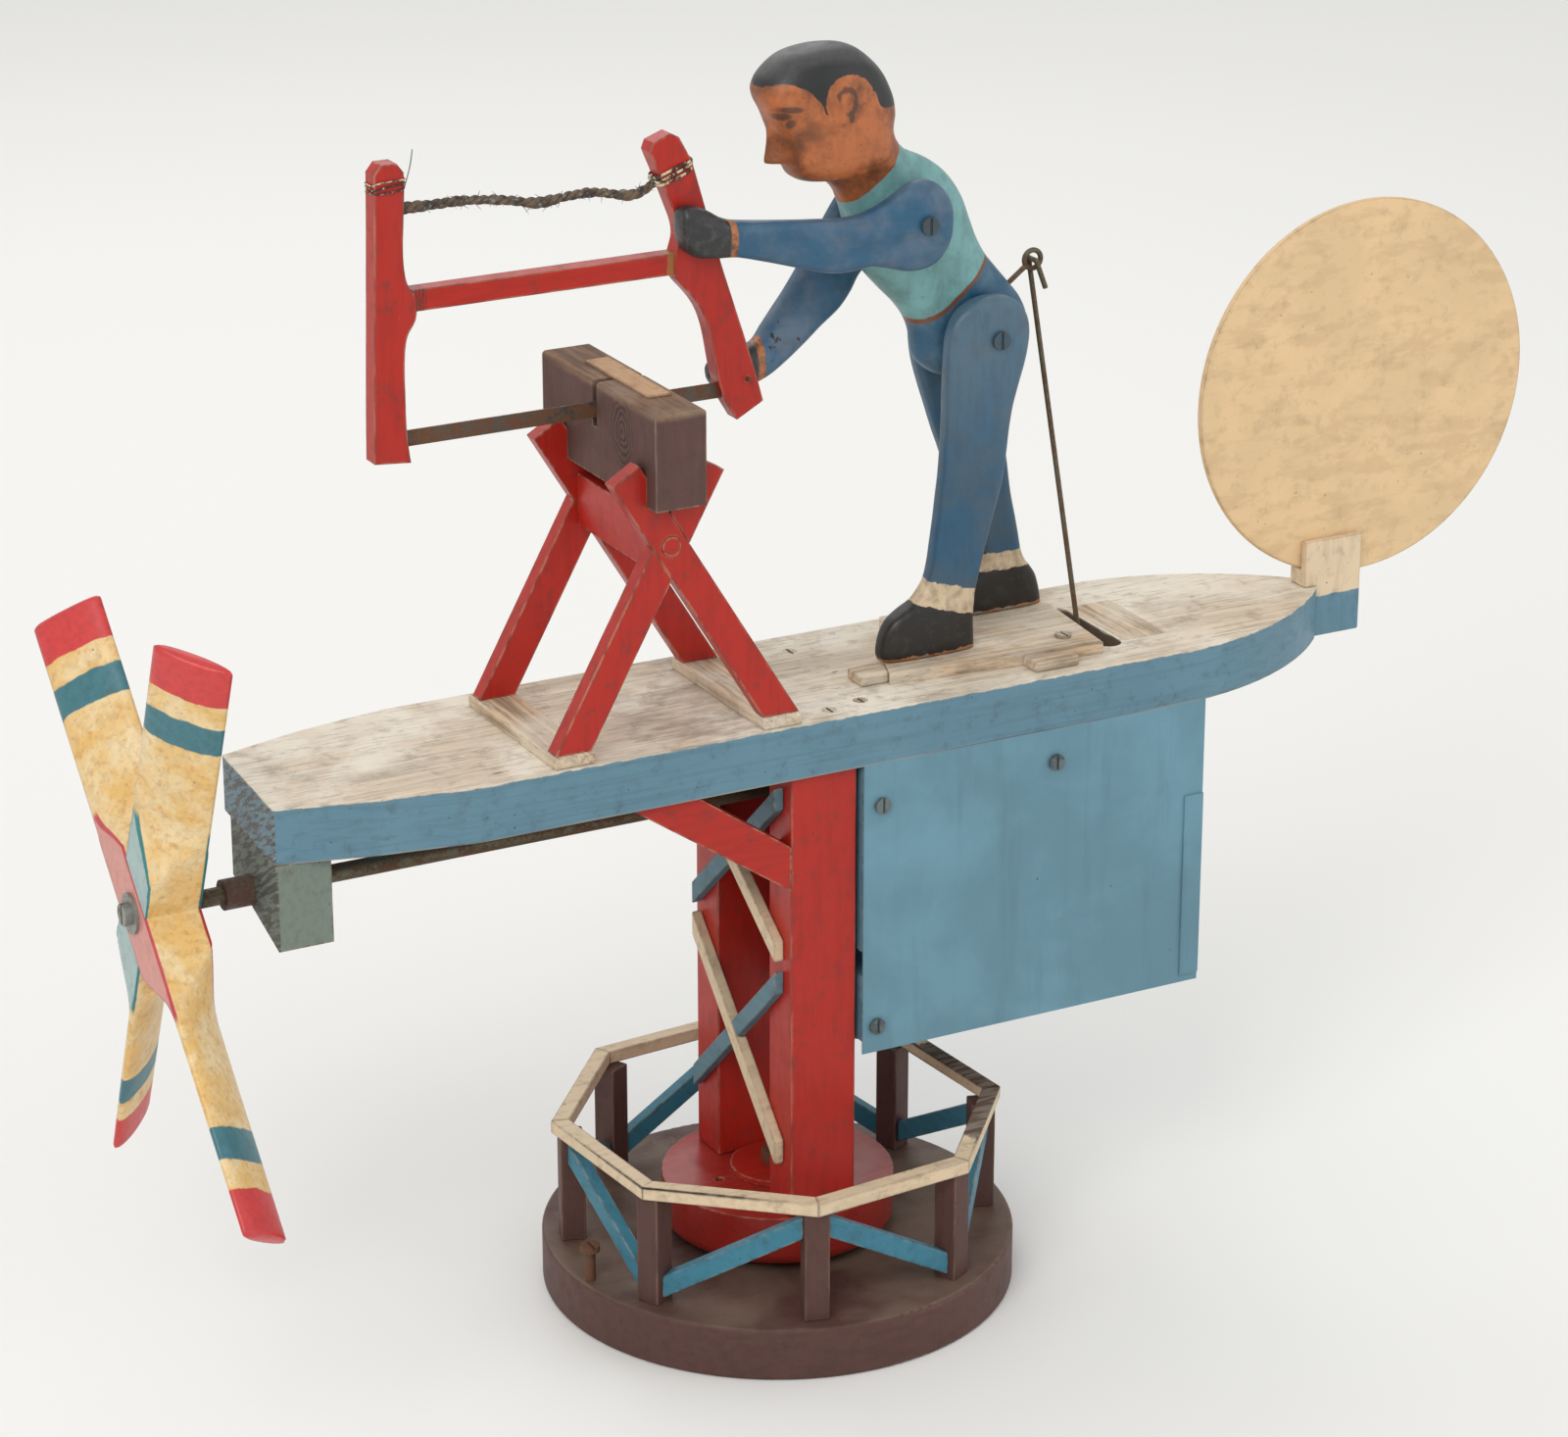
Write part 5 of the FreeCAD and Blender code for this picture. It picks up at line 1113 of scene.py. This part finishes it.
def cord_route(context):
    """Points of the saw's cord: a smooth line through chosen points that sag off the straight."""
    low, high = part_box("saw_cord")
    ends = np.array([(low.x, 0, high.z - CORD_WIDE / 2), (high.x, 0, low.z + CORD_WIDE / 2)])
    stops = np.array([0.0, 0.10, 0.24, 0.40, 0.52, 0.60, 0.74, 0.84, 0.90, 0.96, 1.0])
    sag = np.array([-3.0, -2.8, -1.2, -2.6, -5.4, -3.4, -1.8, -4.2, -4.6, -1.2, 2.2]) * MM
    points = ends[0] + (ends[1] - ends[0]) * stops[:, None]
    points[:, 2] += sag
    points[:, 1] += 0.0006 * np.sin(stops * 19)
    route = bpy.data.curves.new("cord route", "CURVE")
    route.dimensions = "3D"
    route.resolution_u = 24
    line = route.splines.new("NURBS")
    line.points.add(len(points) - 1)
    for point, place in zip(line.points, points):
        point.co = (*place, 1)
    line.order_u = 3
    line.use_endpoint_u = True
    carrier = bpy.data.objects.new("cord route", route)
    context.scene.collection.objects.link(carrier)
    context.view_layer.update()
    drawn = bpy.data.meshes.new_from_object(carrier)
    path = np.zeros(len(drawn.vertices) * 3, np.float32)
    drawn.vertices.foreach_get("co", path)
    bpy.data.objects.remove(carrier)
    bpy.data.meshes.remove(drawn)
    path = path.reshape(-1, 3).astype(float)
    along = np.concatenate([[0], np.cumsum(np.linalg.norm(np.diff(path, axis=0), axis=1))])
    at = np.linspace(0, along[-1], 260)
    return np.stack([np.interp(at, along, path[:, k]) for k in range(3)], -1), at


def fray_paths(fine, run, side, other):
    """Short loose fibres that leave the cord sideways and droop at their ends, five points each."""
    count = 90
    chance = np.random.default_rng(4)
    root = chance.integers(6, 250, count)
    spin = chance.uniform(0, 2 * np.pi, count)
    out = np.cos(spin)[:, None] * side[root] + np.sin(spin)[:, None] * other[root]
    outward = out * chance.uniform(0.4, 1.0, count)[:, None]
    tip = outward + run[root] * chance.uniform(-1.2, 1.2, count)[:, None]
    reach = chance.uniform(0.0016, 0.0036, count)[:, None]
    step = np.linspace(0, 1, 5)[None, :, None]
    fibres = (fine[root] + 0.0014 * out)[:, None] + step * (tip * reach)[:, None]
    fibres[..., 2] -= 0.0006 * step[..., 0] ** 2
    return fibres


def binding_turns(lean, centre_x, half_x, height, thick):
    """String wound round an upright: a helix whose turns follow a rounded square."""
    t = np.linspace(0, 2 * np.pi * 3.3, 150)
    c, s = np.cos(t), np.sin(t)
    wide = half_x + 0.0007 + 0.00012 * np.sin(t * 0.7)
    x = centre_x + wide * np.sign(c) * np.abs(c) ** 0.35
    y = 0.0052 * np.sign(s) * np.abs(s) ** 0.35
    z = DECK_TOP + height + 0.0019 * (t / (2 * np.pi) - 1.6) + (x - centre_x) * lean
    return swept_tube(np.stack([x, y, z + 0.0004 * np.sin(t * 2.3)], -1), thick, 8)


def extra_piece(piece, material):
    """A piece beside the CAD nodes: it rides on the saw and takes the given material."""
    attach(piece, "saw_and_arms")
    dress(piece, material)


class WHIRLIGIG_OT_saw_cord(bpy.types.Operator):
    """Twisted tension cord between the saw's uprights, with its bindings and a stray wire end"""

    bl_idname = "whirligig.saw_cord"
    bl_label = "Saw cord"

    def execute(self, context):
        fine, at = cord_route(context)
        run = np.gradient(fine, axis=0)
        run /= np.linalg.norm(run, axis=1)[:, None]
        side = np.cross(run, [0, 0, 1])
        side /= np.linalg.norm(side, axis=1)[:, None]
        other = np.cross(side, run)
        pitch = context.scene.whirligig_wear.twist_pitch
        lumps = (0.86 + 0.10 * np.sin(at * 310) + 0.08 * np.sin(at * 730 + 1)
                 + 0.38 * np.exp(-(at / 0.018) ** 2) + 0.30 * np.exp(-((at - 0.064) / 0.007) ** 2)
                 + 0.22 * np.exp(-((at - 0.106) / 0.006) ** 2))
        strands = []
        for k in range(3):
            turn = at / pitch * 2 * np.pi + k * 2 * np.pi / 3
            centre = fine + 0.00105 * (np.cos(turn)[:, None] * side + np.sin(turn)[:, None] * other)
            strands.append(swept_tube(centre, 0.00125 * lumps, 12))
        cord = joined_form("saw-cord", strands)
        settle(cord, "saw_cord")
        dress(cord, FINISH["cord"])
        taper = np.linspace(0.0002, 0.00006, 5)
        frays = [swept_tube(fibre, taper, 5) for fibre in fray_paths(fine, run, side, other)]
        extra_piece(joined_form("cord-frays", frays), FINISH["cord"])
        bindings = joined_form("saw-bindings", [
            binding_turns(0.06, -0.1826, 0.0067, 0.2505, 0.00035),
            binding_turns(0.34, -0.0512, 0.0078, 0.2405, 0.00062),
        ])
        settle(bindings, "saw_bindings")
        dress(bindings, FINISH["binding"])
        t = np.linspace(0, 1, 24)
        start = np.array([-0.1763, -0.0052, DECK_TOP + 0.2500])
        end = np.array([-0.1722, -0.0052, DECK_TOP + 0.2655])
        wire = start + (end - start) * t[:, None]
        wire[:, 0] += 0.0006 * np.sin(t * np.pi)
        stray = closed_form("stray-wire", swept_tube(wire, 0.0003, 8))
        extra_piece(stray, FINISH["grey steel"])
        return {"FINISHED"}


class WHIRLIGIG_OT_figure(bpy.types.Operator):
    """Carved body with its head, the two legs with socks and shoes, and the two arms"""

    bl_idname = "whirligig.figure"
    bl_label = "Figure"

    def execute(self, context):
        body = closed_form("sawyer-body", carved_grid(BODY_ROWS, 420, 150, 2.35, 0.0036))
        settle(body, "torso")
        dress(body, FINISH["figure"])
        for name, node, rows, y, finish in (
            ("sawyer-near-leg", "near_leg", NEAR_LEG_ROWS, NEAR_LEG_Y, "near leg"),
            ("sawyer-far-leg", "far_leg", FAR_LEG_ROWS, FAR_LEG_Y, "far leg"),
        ):
            leg = closed_form(name, carved_grid(with_side(rows, y), 190, 84, 3.4))
            settle(leg, node)
            dress(leg, FINISH[finish])
        for name, node, rows, finish in (
            ("sawyer-near-arm", "near_arm", NEAR_ARM_ROWS, "near sleeve"),
            ("sawyer-far-arm", "far_arm", FAR_ARM_ROWS, "far sleeve"),
        ):
            arm = closed_form(name, carved_grid(rows, 170, 84, 3.0))
            settle(arm, node)
            dress(arm, FINISH[finish])
        return {"FINISHED"}


def blade_grid(turn, up, down, inset, half_chord):
    """Points, reach and facet values of one stick.

    Along the stick the section is the square of the stick cut down to a lens: in each
    direction the rim is the nearer of the square's side and the lens's curve. The lens lies
    along a diagonal of the square, is wider than it at the hub, and thins to the blade. The
    facet value is above zero on what is left of the square's front and back faces.
    """
    rows, around = 250, 72
    s = np.linspace(-down, up, rows)
    r = np.abs(s)
    angle = np.linspace(0, 2 * np.pi, around, endpoint=False)
    side = np.where(s > 0, 1.0, -1.0)
    chord = np.where(side > 0, math.radians(135), math.radians(225))
    square = HALF_STICK / np.maximum(np.abs(np.cos(angle)), np.abs(np.sin(angle)))[None]
    fall = np.clip((r - 0.012) / 0.042, 0, 1)
    fall = fall * fall * (3 - 2 * fall)
    length_now = np.where(s > 0, up, down)
    half_thick = 0.022 + (0.0044 - 0.022) * fall - 0.0007 * np.clip((r - 0.05) / 0.09, 0, 1)
    half_long = 0.024 + (half_chord - 0.024) * np.clip(fall * 1.25, 0, 1)
    left = np.clip((length_now - r) / 0.002, 0, 1)
    rounding = np.sqrt(left * (2 - left))
    shrink = 0.0018 * (1 - rounding)
    from_chord = angle[None] - chord[:, None]
    lens = 1 / np.sqrt((np.cos(from_chord) / (half_long - shrink)[:, None]) ** 2
                       + (np.sin(from_chord) / (half_thick - shrink * 0.8)[:, None]) ** 2)
    rim = -np.log(np.exp(-square * 4000) + np.exp(-lens * 4000)) / 4000
    x = HUB_X + rim * np.cos(angle)[None]
    x = np.where((r < 0.02)[:, None], np.maximum(x, HUB_X - HALF_STICK + inset), x)
    e = rim * np.sin(angle)[None]
    a = math.radians(turn)
    y = s[:, None] * math.sin(a) + e * math.cos(a)
    z = SHAFT_Z + s[:, None] * math.cos(a) - e * math.sin(a)
    reach = np.broadcast_to((r / length_now)[:, None], rim.shape)
    front = rim * (np.abs(np.cos(angle)) - np.abs(np.sin(angle)))[None]
    return np.stack([x, y, z], -1), reach, np.minimum(lens - square, front)


class WHIRLIGIG_OT_propeller(bpy.types.Operator):
    """Two crossed sticks, each carved to two pitched blades"""

    bl_idname = "whirligig.propeller"
    bl_label = "Propeller"

    def execute(self, context):
        half_chord = context.scene.whirligig_wear.blade_half
        for name, node, turn, up, down, inset, finish in (
            ("blades-a", "blade_pair_a", 44.0, 0.142, 0.152, 0.0, "blade a"),
            ("blades-b", "blade_pair_b", -22.6, 0.141, 0.134, 0.0003, "blade b"),
        ):
            grid, reach, facet = blade_grid(turn, up, down, inset, half_chord)
            blades = closed_form(name, grid)
            point_value(blades, "reach", reach, 1.0)
            point_value(blades, "facet", facet, -0.01)
            settle(blades, node)
            dress(blades, FINISH[finish])
        return {"FINISHED"}


class WHIRLIGIG_OT_boards(bpy.types.Operator):
    """Boards, posts, rails, legs and strips with softly rounded, worn edges"""

    bl_idname = "whirligig.boards"
    bl_label = "Boards and strips"

    def execute(self, context):
        wear = context.scene.whirligig_wear
        board, strip = wear.board_edge, wear.strip_edge
        for node, width, finish in (
            ("base_disc", 0.0006, "brown"), ("gallery_rails", strip, "cream"),
            ("gallery_stanchions", strip, "brown up"), ("gallery_braces", strip, "blue strip"),
            ("turntable_disc", strip, "red disc"), ("red_washer", 0.0005, "red run"),
            ("near_post", board, "red up"), ("far_post", board, "red up"),
            ("deck_stays", strip, "red run"), ("lattice_blue", strip, "lattice blue"),
            ("lattice_cream", strip, "cream"), ("deck", board, "deck"),
            ("deck_inlay", 0.0004, "bare across"), ("bearing_block", strip, "block"),
            ("upper_spacer", strip, "blue"), ("lower_spacer", strip, "blue"),
            ("rear_bearing", strip, "blue"), ("rear_cleat", strip, "blue"),
            ("tail_block", board, "tail block"), ("tail_vane", 0.0014, "vane"),
            ("horse_legs_falling", strip, "red up"), ("horse_legs_rising", strip, "red up"),
            ("horse_crossbar", strip, "red run"), ("horse_dowels", 0.0004, "red run"),
            ("horse_plates", strip, "bare across"), ("log", board, "log"),
            ("log_patch", 0.0004, "patch"), ("foot_board", board, "bare"),
            ("foot_stops", board, "bare"), ("saw_front_upright", board, "red up"),
            ("saw_rear_upright", board, "red up"), ("saw_stretcher", board, "stretcher"),
        ):
            dress(eased_copy(node, width), FINISH[finish])
        return {"FINISHED"}


class WHIRLIGIG_OT_metalwork(bpy.types.Operator):
    """Finishes of the metal pieces that keep their CAD shape"""

    bl_idname = "whirligig.metalwork"
    bl_label = "Metalwork"

    def execute(self, context):
        for node, finish in (
            ("base_plugs", "brown"), ("base_screws", "rust"), ("pivot_bolt", "rust"),
            ("pivot_nut", "rust"), ("thrust_washer", "rust"), ("bearing_tube", "tube"),
            ("drive_shaft", "green wire"), ("propeller_screw", "grey steel"),
            ("propeller_washer", "grey steel"), ("crank", "rust"), ("near_cover", "sheet"),
            ("far_cover", "sheet"), ("cover_screws", "cover screw"), ("deck_screws", "pale screw"),
            ("saw_blade", "dark steel"), ("saw_nail", "rust"), ("screw_eye", "green wire"),
            ("limb_screws", "limb screw"), ("connecting_rod", "green wire"),
        ):
            dress(NODES[node], FINISH[finish])
        return {"FINISHED"}


class WHIRLIGIG_PT_pieces(bpy.types.Panel):
    """Lists the pieces and what may be changed on them"""

    bl_idname = "WHIRLIGIG_PT_pieces"
    bl_label = "Whirligig"
    bl_space_type = "VIEW_3D"
    bl_region_type = "UI"
    bl_category = "Whirligig"

    def draw(self, context):
        for operator in OPERATORS:
            self.layout.operator(operator.bl_idname)
        for group in (context.scene.whirligig_wear, context.scene.whirligig_paints):
            for name in group.__annotations__:
                self.layout.prop(group, name)


GROUPS = (WhirligigPaints, WhirligigWear)
OPERATORS = (WHIRLIGIG_OT_stage, WHIRLIGIG_OT_saw_cord, WHIRLIGIG_OT_figure, WHIRLIGIG_OT_propeller,
             WHIRLIGIG_OT_boards, WHIRLIGIG_OT_metalwork)


def register():
    for kind in GROUPS + OPERATORS + (WHIRLIGIG_PT_pieces,):
        bpy.utils.register_class(kind)
    bpy.types.Scene.whirligig_paints = PointerProperty(type=WhirligigPaints)
    bpy.types.Scene.whirligig_wear = PointerProperty(type=WhirligigWear)


def unregister():
    del bpy.types.Scene.whirligig_wear
    del bpy.types.Scene.whirligig_paints
    for kind in reversed(GROUPS + OPERATORS + (WHIRLIGIG_PT_pieces,)):
        bpy.utils.unregister_class(kind)


def main():
    register()
    FINISH.update(build_finishes())
    bpy.ops.whirligig.stage()
    bpy.ops.whirligig.saw_cord()
    bpy.ops.whirligig.figure()
    bpy.ops.whirligig.propeller()
    bpy.ops.whirligig.boards()
    bpy.ops.whirligig.metalwork()
    bpy.context.view_layer.update()


if __name__ == "__main__":
    main()
